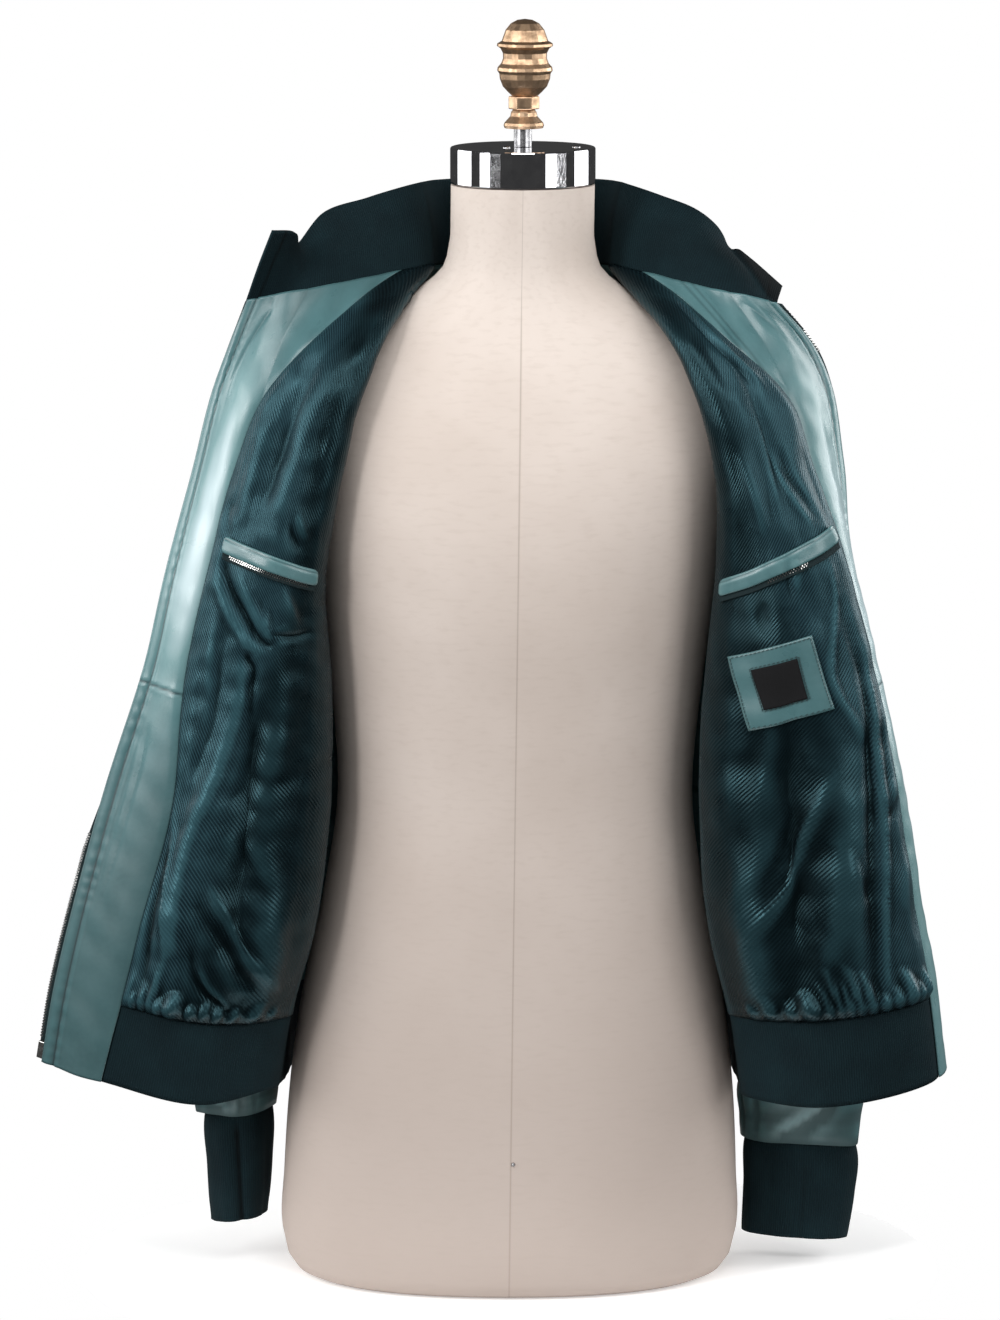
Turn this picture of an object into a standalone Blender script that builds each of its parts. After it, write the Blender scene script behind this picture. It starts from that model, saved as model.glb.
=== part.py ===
"""A leather bomber jacket, worn wide open on a limbless canvas dress form.

Metres, +Z up, +Y away from the viewer. The origin is the middle of the form's flat underside.
The wearer's right is at -X, so an "out" distance is measured sideways from the middle on either side.
A panel is read from a short table of sections. Its points are the leather's inner face, and the
leather, facing, lining, bands, welts and labels are all made from those points, moved in or out.
"""

import math
from collections import namedtuple

import bmesh
import bpy
import numpy as np
from mathutils import Matrix, Vector

# ---------------------------------------------------------------- driving sizes
LEAN = 0.0125            # sideways lean of form and jacket for each metre of height
LEATHER = 0.0012
LINING = 0.0010
KNIT = 0.0024
LAYER_GAP = 0.0007       # between one cloth layer and the next
SEAM_INSET = 0.0004      # each piece stops this far short of its seam
FORM_CLEARANCE = 0.0045  # inner face of the leather to the canvas, lining and air between

BAND_HEIGHT = 0.064
UNDERARM = 0.395         # height t of the underarm above the hem, measured on the panel
PANEL_TOP = 0.640        # height t of the neckline and shoulder seam

ARMHOLE_ROWS = 8
BODY_ROWS = 11
BAND_ROWS = 3
FACING_COLUMNS = 4
OPEN_COLUMNS = 8         # from the facing to the roll where the front turns out
FLANK_COLUMNS = 5        # from that roll to the side seam
SLEEVE_ROWS = 15

# ---------------------------------------------------------------- the dress form
FORM_POWER = 2.25        # 2 would be an ellipse
FORM_SIDES = 28
FormRow = namedtuple("FormRow", "z half_width front back")
FORM_ROWS = (
    FormRow(0.000, 0.160, 0.112, 0.112),
    FormRow(0.004, 0.169, 0.120, 0.120),
    FormRow(0.014, 0.176, 0.126, 0.126),
    FormRow(0.034, 0.1805, 0.130, 0.131),
    FormRow(0.080, 0.1795, 0.129, 0.133),
    FormRow(0.150, 0.1755, 0.124, 0.134),
    FormRow(0.220, 0.1670, 0.115, 0.128),
    FormRow(0.300, 0.1510, 0.107, 0.117),
    FormRow(0.380, 0.1400, 0.105, 0.108),
    FormRow(0.460, 0.1450, 0.111, 0.112),
    FormRow(0.540, 0.1560, 0.121, 0.124),
    FormRow(0.610, 0.1680, 0.121, 0.132),
    FormRow(0.665, 0.1800, 0.109, 0.131),
    FormRow(0.705, 0.1840, 0.092, 0.121),
    FormRow(0.735, 0.1720, 0.076, 0.107),
    FormRow(0.757, 0.1340, 0.064, 0.088),
    FormRow(0.775, 0.0920, 0.056, 0.074),
    FormRow(0.792, 0.0660, 0.052, 0.062),
    FormRow(0.815, 0.0570, 0.052, 0.057),
    FormRow(0.840, 0.0560, 0.054, 0.056),
    FormRow(0.8620, 0.0560, 0.055, 0.055),
)

# ---------------------------------------------------------------- sections of the jacket
# t is the height above the hem along the cloth. Each column is (out, y).
Section = namedtuple("Section", "t z_edge z_inner z_fold edge outer inner fold flank")
COLUMN_PLACES = (0.0, 0.062, 0.135, 0.180, 0.225, 0.270)  # cloth from the front edge, in metres
ROLL = 3                 # the column where the front turns outwards
RIGHT_FRONT = (
    Section(0.000, 0.178, 0.153, 0.160, (0.368, -0.062), (0.312, -0.090), (0.236, -0.106), (0.190, -0.082), (0.183, -0.036)),
    Section(0.064, 0.240, 0.219, 0.218, (0.358, -0.071), (0.300, -0.098), (0.228, -0.114), (0.178, -0.083), (0.176, -0.036)),
    Section(0.130, 0.300, 0.285, 0.280, (0.344, -0.076), (0.288, -0.104), (0.212, -0.120), (0.161, -0.086), (0.167, -0.036)),
    Section(0.240, 0.400, 0.392, 0.390, (0.318, -0.080), (0.262, -0.107), (0.190, -0.116), (0.147, -0.082), (0.159, -0.032)),
    Section(0.345, 0.500, 0.495, 0.492, (0.287, -0.085), (0.237, -0.108), (0.179, -0.112), (0.147, -0.082), (0.164, -0.030)),
    Section(0.430, 0.577, 0.573, 0.570, (0.270, -0.082), (0.224, -0.106), (0.176, -0.115), (0.151, -0.092), (0.172, -0.040)),
    Section(0.505, 0.650, 0.650, 0.650, (0.251, -0.076), (0.212, -0.098), (0.164, -0.112), (0.139, -0.100), (0.167, -0.060)),
    Section(0.565, 0.710, 0.715, 0.717, (0.236, -0.070), (0.196, -0.088), (0.146, -0.100), (0.122, -0.092), (0.158, -0.062)),
    Section(0.605, 0.746, 0.756, 0.760, (0.224, -0.066), (0.182, -0.068), (0.130, -0.070), (0.102, -0.062), (0.149, -0.036)),
    Section(0.640, 0.778, 0.791, 0.797, (0.212, -0.060), (0.166, -0.046), (0.112, -0.014), (0.069, 0.020), (0.137, 0.024)),
)
LEFT_FRONT = (
    Section(0.000, 0.180, 0.151, 0.154, (0.336, -0.024), (0.3280, -0.084), (0.236, -0.108), (0.186, -0.084), (0.181, -0.036)),
    Section(0.064, 0.243, 0.222, 0.219, (0.327, -0.028), (0.3195, -0.088), (0.230, -0.116), (0.175, -0.083), (0.174, -0.036)),
    Section(0.130, 0.307, 0.290, 0.283, (0.314, -0.034), (0.3066, -0.094), (0.216, -0.121), (0.158, -0.084), (0.165, -0.034)),
    Section(0.240, 0.405, 0.396, 0.392, (0.297, -0.040), (0.2890, -0.100), (0.200, -0.120), (0.147, -0.084), (0.158, -0.032)),
    Section(0.345, 0.502, 0.497, 0.494, (0.275, -0.044), (0.2660, -0.104), (0.192, -0.120), (0.149, -0.086), (0.164, -0.030)),
    Section(0.430, 0.580, 0.576, 0.573, (0.258, -0.045), (0.2450, -0.104), (0.188, -0.118), (0.155, -0.096), (0.172, -0.042)),
    Section(0.505, 0.650, 0.652, 0.652, (0.250, -0.045), (0.221, -0.096), (0.178, -0.114), (0.152, -0.104), (0.172, -0.062)),
    Section(0.565, 0.708, 0.714, 0.718, (0.240, -0.045), (0.204, -0.082), (0.160, -0.102), (0.133, -0.096), (0.162, -0.064)),
    Section(0.605, 0.744, 0.755, 0.760, (0.223, -0.046), (0.183, -0.066), (0.138, -0.074), (0.110, -0.066), (0.151, -0.036)),
    Section(0.640, 0.775, 0.790, 0.797, (0.197, -0.050), (0.160, -0.048), (0.112, -0.018), (0.069, 0.020), (0.137, 0.024)),
)
FacingRow = namedtuple("FacingRow", "t right left")  # width of each front's facing
FACING = (
    FacingRow(0.000, 0.053, 0.050),
    FacingRow(0.130, 0.060, 0.052),
    FacingRow(0.240, 0.060, 0.052),
    FacingRow(0.345, 0.040, 0.045),
    FacingRow(0.430, 0.043, 0.047),
    FacingRow(0.505, 0.051, 0.054),
    FacingRow(0.565, 0.068, 0.070),
    FacingRow(0.605, 0.103, 0.112),
    FacingRow(0.640, 0.150, 0.150),
)

SideRow = namedtuple("SideRow", "t out y z")
SIDE_SEAM = (
    SideRow(0.000, 0.1800, 0.002, 0.150),
    SideRow(0.064, 0.1790, 0.006, 0.212),
    SideRow(0.130, 0.1840, 0.010, 0.275),
    SideRow(0.240, 0.1800, 0.014, 0.384),
    SideRow(0.345, 0.1820, 0.014, 0.484),
    SideRow(0.395, 0.1840, 0.014, 0.532),
)

BackRow = namedtuple("BackRow", "t z_middle z_centre middle blade centre")
BACK_PLACES = (0.0, 0.1, 0.19, 0.28)  # centre, shoulder blade, middle and side, in metres of cloth
BACK = (
    BackRow(0.000, 0.150, 0.149, (0.168, 0.086), (0.105, 0.138), 0.151),
    BackRow(0.064, 0.212, 0.212, (0.170, 0.088), (0.106, 0.140), 0.153),
    BackRow(0.130, 0.275, 0.275, (0.184, 0.096), (0.118, 0.156), 0.168),
    BackRow(0.240, 0.384, 0.384, (0.174, 0.094), (0.112, 0.146), 0.156),
    BackRow(0.345, 0.486, 0.487, (0.175, 0.094), (0.114, 0.146), 0.156),
    BackRow(0.430, 0.566, 0.570, (0.178, 0.094), (0.118, 0.150), 0.159),
    BackRow(0.505, 0.640, 0.650, (0.180, 0.094), (0.118, 0.144), 0.153),
    BackRow(0.565, 0.697, 0.712, (0.174, 0.086), (0.112, 0.126), 0.138),
    BackRow(0.605, 0.738, 0.752, (0.158, 0.060), (0.092, 0.096), 0.118),
    BackRow(0.640, 0.777, 0.792, (0.137, 0.024), (0.069, 0.020), 0.090),
)
NECK_POINT = (0.069, 0.020, 0.797)
SHOULDER_TIP = (0.205, 0.020, 0.750)
SHOULDER_RISE = 0.004    # the shoulder seam bows up this far between them
ARMHOLE_FRONT = -0.032
ARMHOLE_BACK = 0.066

# A fold is a soft ridge on the leather's outer side, or a trough where depth is negative.
# Side 0 is the back, where s is measured from its centre.
Fold = namedtuple("Fold", "side s t_low t_high slant depth half_width")
FOLDS = (
    Fold(-1, 0.120, 0.10, 0.37, -0.10, 0.011, 0.013),
    Fold(-1, 0.088, 0.06, 0.30, 0.04, -0.006, 0.012),
    Fold(-1, 0.150, 0.05, 0.20, -0.10, -0.007, 0.010),
    Fold(-1, 0.105, 0.46, 0.60, 0.15, 0.005, 0.014),
    Fold(1, 0.100, 0.05, 0.33, -0.05, -0.007, 0.012),
    Fold(1, 0.128, 0.05, 0.36, -0.05, 0.010, 0.012),
    Fold(1, 0.155, 0.04, 0.22, -0.05, -0.006, 0.010),
    Fold(1, 0.110, 0.44, 0.60, 0.10, 0.006, 0.016),
    Fold(0, -0.165, 0.07, 0.44, 0.18, 0.011, 0.024),
    Fold(0, 0.150, 0.07, 0.40, -0.16, 0.010, 0.026),
    Fold(0, -0.075, 0.07, 0.27, 0.14, -0.008, 0.022),
    Fold(0, 0.050, 0.07, 0.34, -0.10, 0.010, 0.022),
    Fold(0, -0.010, 0.30, 0.58, 0.10, -0.007, 0.030),
    Fold(0, 0.110, 0.36, 0.60, 0.20, -0.007, 0.024),
)

# ---------------------------------------------------------------- sleeves and cuffs
# Each ring spans from its inner point to its outer point, and from y_front to y_back.
Ring = namedtuple("Ring", "length inner_out inner_z outer_out outer_z y_front y_back twist")
RIGHT_SLEEVE = (
    Ring(0.030, 0.1885, 0.510, 0.226, 0.730, -0.043, 0.079, 0),
    Ring(0.090, 0.1920, 0.480, 0.241, 0.668, -0.048, 0.088, 0),
    Ring(0.160, 0.1930, 0.440, 0.254, 0.582, -0.048, 0.090, 0),
    Ring(0.260, 0.1935, 0.370, 0.263, 0.450, -0.046, 0.087, 4),
    Ring(0.360, 0.1930, 0.285, 0.266, 0.335, -0.040, 0.078, 10),
    Ring(0.450, 0.1910, 0.200, 0.262, 0.225, -0.031, 0.066, 18),
    Ring(0.520, 0.1910, 0.128, 0.247, 0.126, -0.016, 0.054, 24),
)
LEFT_SLEEVE = (
    Ring(0.030, 0.1885, 0.510, 0.226, 0.730, -0.043, 0.079, 0),
    Ring(0.090, 0.1920, 0.480, 0.243, 0.668, -0.048, 0.088, 0),
    Ring(0.160, 0.1930, 0.440, 0.254, 0.582, -0.047, 0.090, 0),
    Ring(0.260, 0.1930, 0.370, 0.268, 0.450, -0.042, 0.085, -6),
    Ring(0.360, 0.1920, 0.285, 0.276, 0.335, -0.030, 0.076, -14),
    Ring(0.450, 0.1880, 0.195, 0.278, 0.215, -0.014, 0.066, -18),
    Ring(0.520, 0.1850, 0.102, 0.277, 0.098, 0.002, 0.056, -12),
)
CuffRow = namedtuple("CuffRow", "inner_out outer_out y_front y_back z_inner z_outer twist")
RIGHT_CUFF = (
    CuffRow(0.1925, 0.241, -0.012, 0.050, 0.1245, 0.1215, 24),
    CuffRow(0.1925, 0.239, -0.010, 0.052, 0.080, 0.078, 22),
    CuffRow(0.1945, 0.237, -0.006, 0.050, 0.037, 0.033, 18),
)
LEFT_CUFF = (
    CuffRow(0.1875, 0.277, 0.004, 0.052, 0.0985, 0.0900, -12),
    CuffRow(0.1865, 0.276, 0.006, 0.053, 0.059, 0.052, -10),
    CuffRow(0.1855, 0.271, 0.008, 0.052, 0.021, 0.017, -8),
)
SLEEVE_SEAM = 0.0020     # the sleeve stands this far out from the armhole
SLEEVE_FLUSH = 0.0012
SLEEVE_SEAM_INSET = 0.0010  # more than at other seams, because the two pieces' walls lean together
SLEEVE_FOLDS = ((0.205, 0.004), (0.245, -0.004), (0.300, 0.004), (0.385, -0.004), (0.425, 0.005), (0.462, -0.005),
                (0.495, 0.006))  # (length down the sleeve, depth)
SLEEVE_FOLD_LENGTH = 0.016

# ---------------------------------------------------------------- collar
# Where a station's seam is at this share of one front's neckline or of half the back neck, its
# middle and top stand off from the seam by (sideways, y, z), sideways being away from the middle.
CollarRow = namedtuple("CollarRow", "share middle top")
COLLAR_BACK = (0.000, 0.006, 0.036)
COLLAR_BACK_TOP = (0.000, 0.001, 0.068)
COLLAR_NECK = (0.003, 0.014, 0.032)
COLLAR_NECK_TOP = (0.010, 0.030, 0.062)
RIGHT_COLLAR = (          # share 0 is the front end, 1 the neck point
    CollarRow(0.00, (-0.010, -0.016, 0.028), (-0.021, -0.030, 0.056)),
    CollarRow(0.14, (-0.008, -0.008, 0.028), (-0.015, -0.018, 0.050)),
    CollarRow(0.27, (-0.002, 0.010, 0.024), (0.004, 0.006, 0.036)),
    CollarRow(0.45, (0.004, 0.012, 0.030), (0.014, 0.022, 0.052)),
    CollarRow(0.70, (0.004, 0.013, 0.032), (0.013, 0.028, 0.058)),
)
LEFT_COLLAR = (
    CollarRow(0.00, (0.003, 0.030, 0.004), (0.004, 0.064, 0.002)),
    CollarRow(0.16, (0.003, 0.022, 0.016), (0.008, 0.062, 0.015)),
    CollarRow(0.32, (0.009, 0.015, 0.023), (0.014, 0.053, 0.026)),
    CollarRow(0.48, (0.013, 0.010, 0.028), (0.022, 0.036, 0.042)),
    CollarRow(0.62, (0.010, 0.009, 0.032), (0.023, 0.024, 0.052)),
    CollarRow(0.78, (0.006, 0.012, 0.033), (0.017, 0.028, 0.057)),
)
COLLAR_ROWS = 5
COLLAR_SEAM = 0.0017      # from the panels' seam line to the collar, where one runs straight on from the other
COLLAR_FRONT_STEPS = 20
COLLAR_NECK_STEPS = 14

# ---------------------------------------------------------------- pockets, label and zips
Strip = namedtuple("Strip", "s_outer t_outer s_inner t_inner width")
RIGHT_WELT = Strip(0.059, 0.449, 0.158, 0.427, 0.012)
LEFT_WELT = Strip(0.064, 0.454, 0.168, 0.415, 0.013)
WELT_THICK = 0.0014
POCKET_ZIP_WIDTH = 0.005
POCKET_ZIP_DROP = 0.010
STRIP_COLUMNS = 7

# (s, t) of the patch's corners: outer and inner at its top, then outer and inner at its foot
PATCH_CORNERS = ((0.101, 0.378), (0.160, 0.359), (0.093, 0.312), (0.147, 0.295))
LABEL_SHARE = 0.57       # side of the woven label over the patch's
PATCH_CELLS = 4

ZIP_TAPE_WIDTH = 0.0042
ZIP_TAPE_THICK = 0.0018
ZIP_END_HEIGHT = 0.014
ZIP_END_WIDTH = 0.0055
ZIP_END_THICK = 0.0036
SLIDER_HEIGHT = 0.012
SLIDER_WIDTH = 0.0090
SLIDER_THICK = 0.0046
LUG_THICK = 0.0011
LUG_REACH = 0.0040
PULL_STANDOFF = 0.0025   # hinge axis off the slider's face
PULL_EYE_RADIUS = 0.0017
PULL_PIN_RADIUS = 0.0006
PULL_HOLE_RADIUS = 0.0010
PULL_LENGTH = 0.026
PULL_WIDTH = 0.0042
PULL_THICK = 0.0018

CAP_RADIUS = 0.0566
CAP_BOTTOM = 0.8624
CAP_HEIGHT = 0.0284
METAL_GAP = 0.0003
POST_RADIUS = 0.007
POST_TOP = 0.9055
FINIAL_SIDES = 20
HEX_BOTTOM, HEX_TOP, HEX_RADIUS = 0.9205, 0.9305, 0.0122
FOOT_PROFILE = ((0.0085, 0.9202), (0.0100, 0.9180), (0.0105, 0.9150), (0.0150, 0.9100), (0.0158, 0.9080),
                (0.0150, 0.9058))
FINIAL_PROFILE = (
    (0.0060, 0.9896), (0.0110, 0.9870), (0.0150, 0.9820), (0.0170, 0.9765), (0.0180, 0.9735),
    (0.0215, 0.9715), (0.0218, 0.9695), (0.0190, 0.9675), (0.0172, 0.9640), (0.0170, 0.9600),
    (0.0185, 0.9560), (0.0212, 0.9530), (0.0216, 0.9505), (0.0200, 0.9480), (0.0195, 0.9440),
    (0.0172, 0.9380), (0.0130, 0.9335), (0.0100, 0.9308),
)
FINIAL_TOP = 0.9905

# (red, green, blue), roughness, metallic
FINISHES = {
    "leather": ((0.115, 0.255, 0.262), 0.42, 0.0),
    "knit": ((0.009, 0.026, 0.030), 0.95, 0.0),
    "satin": ((0.010, 0.048, 0.055), 0.35, 0.0),
    "canvas": ((0.640, 0.560, 0.500), 0.85, 0.0),
    "chrome": ((0.700, 0.700, 0.720), 0.08, 1.0),
    "steel": ((0.480, 0.480, 0.490), 0.30, 1.0),
    "brass": ((0.360, 0.240, 0.110), 0.38, 1.0),
    "zip_metal": ((0.560, 0.560, 0.550), 0.30, 1.0),
    "zip_tape": ((0.012, 0.030, 0.034), 0.90, 0.0),
    "label": ((0.006, 0.006, 0.007), 0.70, 0.0),
}


# ---------------------------------------------------------------- curves and surfaces
def smooth(knots, values, at, own=None):
    """A Catmull-Rom curve through the values at the knots, read at each place in at.

    With own, place n reads only column own[n] of the values.
    """
    knots = np.asarray(knots, float)
    values = np.asarray(values, float)
    at = np.asarray(at, float)
    steps = np.diff(knots).reshape(-1, *([1] * (values.ndim - 1)))
    slopes = np.diff(values, axis=0) / steps
    inner = (slopes[:-1] * steps[1:] + slopes[1:] * steps[:-1]) / (steps[1:] + steps[:-1])
    turns = np.concatenate([slopes[:1], inner, slopes[-1:]])
    span = np.clip(np.searchsorted(knots, at) - 1, 0, len(knots) - 2)

    def pick(table, index):
        return table[index] if own is None else table[index, own]

    shape = (-1,) + (1,) * (pick(values, span).ndim - 1)
    width = (knots[span + 1] - knots[span]).reshape(shape)
    u = ((at - knots[span]) / width.reshape(-1)).reshape(shape)
    start = (1 + 2 * u) * (1 - u) ** 2 * pick(values, span) + u * (1 - u) ** 2 * width * pick(turns, span)
    end = u * u * (3 - 2 * u) * pick(values, span + 1) + u * u * (u - 1) * width * pick(turns, span + 1)
    return start + end


def unit(vectors):
    return vectors / np.maximum(np.linalg.norm(vectors, axis=-1, keepdims=True), 1e-12)


def lean(points):
    """The same points on the leaning form."""
    moved = np.array(points, float)
    moved[..., 0] += LEAN * moved[..., 2]
    return moved


def form_reach(points):
    """1 on the canvas, more outside it, less inside."""
    rows = np.array(FORM_ROWS)
    sizes = smooth(rows[:, 0], rows[:, 1:], np.clip(points[:, 2], rows[0, 0], rows[-1, 0]))
    depth = np.where(points[:, 1] < 0, sizes[:, 1], sizes[:, 2])
    total = np.abs(points[:, 0] / sizes[:, 0]) ** FORM_POWER + np.abs(points[:, 1] / depth) ** FORM_POWER
    return np.maximum(total, 1e-9) ** (1 / FORM_POWER)


def clear_of_form(points, clearance=FORM_CLEARANCE):
    """Cloth that would sink into the form is moved out until it rests just off it."""
    moved = points.reshape(-1, 3).copy()
    step = 0.0004
    for _ in range(6):
        reach = form_reach(moved)
        slope = np.stack([(form_reach(moved + step * axis) - reach) / step for axis in np.eye(3)], axis=1)
        size = np.maximum(np.linalg.norm(slope, axis=1), 1e-6)
        shortfall = np.clip(clearance - (reach - 1) / size, 0, 0.004)
        moved += slope / size[:, None] * shortfall[:, None]
    return moved.reshape(points.shape)


def armhole_point(side, angle):
    """A point of the armhole: angle 0 is the shoulder tip, a quarter turn the front, a half the underarm."""
    tip = np.array(SHOULDER_TIP)
    low = SIDE_SEAM[-1]
    under = np.array([low.out, low.y, low.z])
    middle = (tip + under) / 2
    upright = (tip - under) / 2
    angle = np.asarray(angle, float)[..., None]
    front = np.array([0, ARMHOLE_FRONT - middle[1], 0])
    back = np.array([0, middle[1] - ARMHOLE_BACK, 0])
    across = np.where(np.sin(angle) > 0, front, back)
    ring = middle + upright * np.cos(angle) + across * np.sin(angle)
    return ring * np.array([side, 1, 1])


def seam_line(side, t, which):
    """The side seam up to the underarm, then the front (+1) or back (-1) half of the armhole."""
    rows = np.array(SIDE_SEAM)
    below = smooth(rows[:, 0], rows[:, 1:], np.minimum(t, UNDERARM)) * np.array([side, 1, 1])
    share = np.clip((t - UNDERARM) / (PANEL_TOP - UNDERARM), 0, 1)
    above = armhole_point(side, which * math.pi * (1 - share))
    return np.where((t <= UNDERARM)[:, None], below, above)


def shoulder_line(side, share):
    """From the neck point (share 0) to the shoulder tip (share 1)."""
    share = np.asarray(share, float)[..., None]
    line = np.array(NECK_POINT) * (1 - share) + np.array(SHOULDER_TIP) * share
    line = line + np.array([0, 0, 4 * SHOULDER_RISE]) * share * (1 - share)
    return line * np.array([side, 1, 1])


def back_neckline(share):
    """A quarter of an ellipse on each side, from the centre of the back neck to the neck point."""
    angle = share * math.pi / 2
    centre = BACK[-1]
    x = NECK_POINT[0] * np.sin(angle)
    y = NECK_POINT[1] + (centre.centre - NECK_POINT[1]) * np.cos(angle)
    z = NECK_POINT[2] + (centre.z_centre - NECK_POINT[2]) * np.cos(angle)
    return np.stack([x, y, z], axis=1)


def fold_shift(side, s, t):
    total = np.zeros(np.shape(s))
    for fold in FOLDS:
        if fold.side != side:
            continue
        middle = (fold.t_low + fold.t_high) / 2
        across = (s - fold.s - fold.slant * (t - middle)) / fold.half_width
        along = np.clip((t - fold.t_low) / (fold.t_high - fold.t_low), 0, 1)
        total += fold.depth * np.exp(-across**2) * np.sin(math.pi * along) ** 1.5
    return total


def normals_of(points, wrap=False):
    """Unit normals of a grid of points, whose rows run upwards and whose columns run along."""
    if wrap:
        along = np.roll(points, -1, axis=1) - np.roll(points, 1, axis=1)
    else:
        along = np.gradient(points, axis=1)
    up = np.gradient(points, axis=0)
    return unit(np.cross(along, up))


def front_points(side, table, s, t):
    """Inner face of a front panel, for grids s (cloth from the front edge) and t (height)."""
    rows = []
    for row in table:
        z_outer = (row.z_edge + row.z_inner) / 2
        heights = (row.z_edge, z_outer, row.z_inner, row.z_fold)
        places = (row.edge, row.outer, row.inner, row.fold)
        points = [(side * out, y, z) for (out, y), z in zip(places, heights)]
        at_side = seam_line(side, np.array([row.t]), 1)[0]
        points.append((side * row.flank[0], row.flank[1], (row.z_fold + at_side[2]) / 2))
        rows.append(points)
    shoulder_middle = shoulder_line(side, 0.5)
    rows[-1][-1] = tuple(shoulder_middle)
    flat_s, flat_t = s.ravel(), t.ravel()
    columns = smooth([row.t for row in table], rows, flat_t)
    columns = np.concatenate([columns, seam_line(side, flat_t, 1)[:, None]], axis=1)
    points = smooth(COLUMN_PLACES, columns.swapaxes(0, 1), flat_s, own=np.arange(len(flat_s)))
    return points.reshape(s.shape + (3,))


def back_points(q, t):
    """Inner face of the back, for grids q (cloth from the centre, minus to the right) and t."""
    rows = []
    for row in BACK:
        z_blade = (row.z_middle + row.z_centre) / 2
        rows.append([(0, row.centre, row.z_centre), (row.blade[0], row.blade[1], z_blade),
                     (row.middle[0], row.middle[1], row.z_middle)])
    rows[-1][1] = NECK_POINT
    rows[-1][2] = tuple(shoulder_line(1, 0.5))
    flat_q, flat_t = q.ravel(), t.ravel()
    half = smooth([row.t for row in BACK], rows, flat_t)
    half = np.concatenate([half, seam_line(1, flat_t, -1)[:, None]], axis=1)
    mirrored = half[:, :0:-1] * np.array([-1, 1, 1])
    columns = np.concatenate([mirrored, half], axis=1)
    places = [-place for place in BACK_PLACES[:0:-1]] + list(BACK_PLACES)
    points = smooth(places, columns.swapaxes(0, 1), flat_q, own=np.arange(len(flat_q)))
    return points.reshape(q.shape + (3,))


def rows_of_t():
    band = np.linspace(0, BAND_HEIGHT, BAND_ROWS + 1)
    body = np.linspace(BAND_HEIGHT, UNDERARM, BODY_ROWS + 1)
    armhole = np.linspace(UNDERARM, PANEL_TOP, ARMHOLE_ROWS + 1)
    return np.concatenate([band, body[1:], armhole[1:]])


def near_end(count):
    """Shares from 0 to 1, closer together towards 1."""
    return 1 - (1 - np.linspace(0, 1, count + 1)) ** 1.6


def front_grid(side, table):
    """(points, normals, s, t) of one front on the common grid of all its layers."""
    t_rows = rows_of_t()
    widths = [row.right if side < 0 else row.left for row in FACING]
    facing = smooth([row.t for row in FACING], widths, t_rows)[:, None]
    roll = COLUMN_PLACES[ROLL]
    in_facing = facing * np.linspace(0, 1, FACING_COLUMNS + 1)
    opened = facing + (roll - facing) * near_end(OPEN_COLUMNS)[1:]
    flank = roll + (COLUMN_PLACES[-1] - roll) * (1 - near_end(FLANK_COLUMNS)[::-1])[1:]
    s = np.concatenate([in_facing, opened, np.broadcast_to(flank, (len(t_rows), len(flank)))], axis=1)
    t = np.broadcast_to(t_rows[:, None], s.shape)
    points = front_points(side, table, s, t)
    shares = (s[-1, -FLANK_COLUMNS - 1:] - roll) / (COLUMN_PLACES[-1] - roll)
    points[-1, -FLANK_COLUMNS - 1:] = shoulder_line(side, shares)
    outward = normals_of(points) * side
    points = points + outward * fold_shift(side, s, t)[..., None]
    points = clear_of_form(points)
    normals = normals_of(points) * side
    return lean(points), normals, s, t


def back_grid():
    t_rows = rows_of_t()
    neck = BACK_PLACES[1]
    half = np.concatenate([np.linspace(0, neck, 5), neck + (BACK_PLACES[-1] - neck) *
                           (1 - near_end(FLANK_COLUMNS)[::-1])[1:]])
    q_row = np.concatenate([-half[:0:-1], half])
    q = np.broadcast_to(q_row, (len(t_rows), len(q_row)))
    t = np.broadcast_to(t_rows[:, None], q.shape)
    points = back_points(q, t)
    shares = (half[4:] - neck) / (BACK_PLACES[-1] - neck)
    points[-1, -FLANK_COLUMNS - 1:] = shoulder_line(1, shares)
    points[-1, :FLANK_COLUMNS + 1] = shoulder_line(-1, shares[::-1])
    points[-1, FLANK_COLUMNS:-FLANK_COLUMNS] = back_neckline(q_row[FLANK_COLUMNS:-FLANK_COLUMNS] / neck)
    points = points - normals_of(points) * fold_shift(0, q, t)[..., None]
    points = clear_of_form(points)
    normals = -normals_of(points)
    return lean(points), normals


# ---------------------------------------------------------------- making objects
def material(name):
    found = bpy.data.materials.get(name)
    if found:
        return found
    color, roughness, metallic = FINISHES[name]
    made = bpy.data.materials.new(name)
    made.use_nodes = True
    shader = made.node_tree.nodes["Principled BSDF"]
    shader.inputs["Base Color"].default_value = (*color, 1)
    shader.inputs["Roughness"].default_value = roughness
    shader.inputs["Metallic"].default_value = metallic
    made.diffuse_color = (*color, 1)
    return made


def add_object(name, mesh, finish):
    obj = bpy.data.objects.new(name, mesh)
    mesh.materials.append(material(finish))
    bpy.data.collections["leather_jacket_on_form"].objects.link(obj)
    return obj


def grid_mesh(name, points, wrap=False, flip=False):
    """An open sheet of quads through a grid of points, or a tube where it wraps."""
    bm = bmesh.new()
    verts = [[bm.verts.new(point) for point in row] for row in points]
    columns = len(points[0])
    for low, high in zip(verts[:-1], verts[1:]):
        for column in range(columns if wrap else columns - 1):
            after = (column + 1) % columns
            corners = (low[column], low[after], high[after], high[column])
            bm.faces.new(corners[::-1] if flip else corners)
    mesh = bpy.data.meshes.new(name)
    bm.to_mesh(mesh)
    bm.free()
    mesh.shade_smooth()
    return mesh


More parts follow.
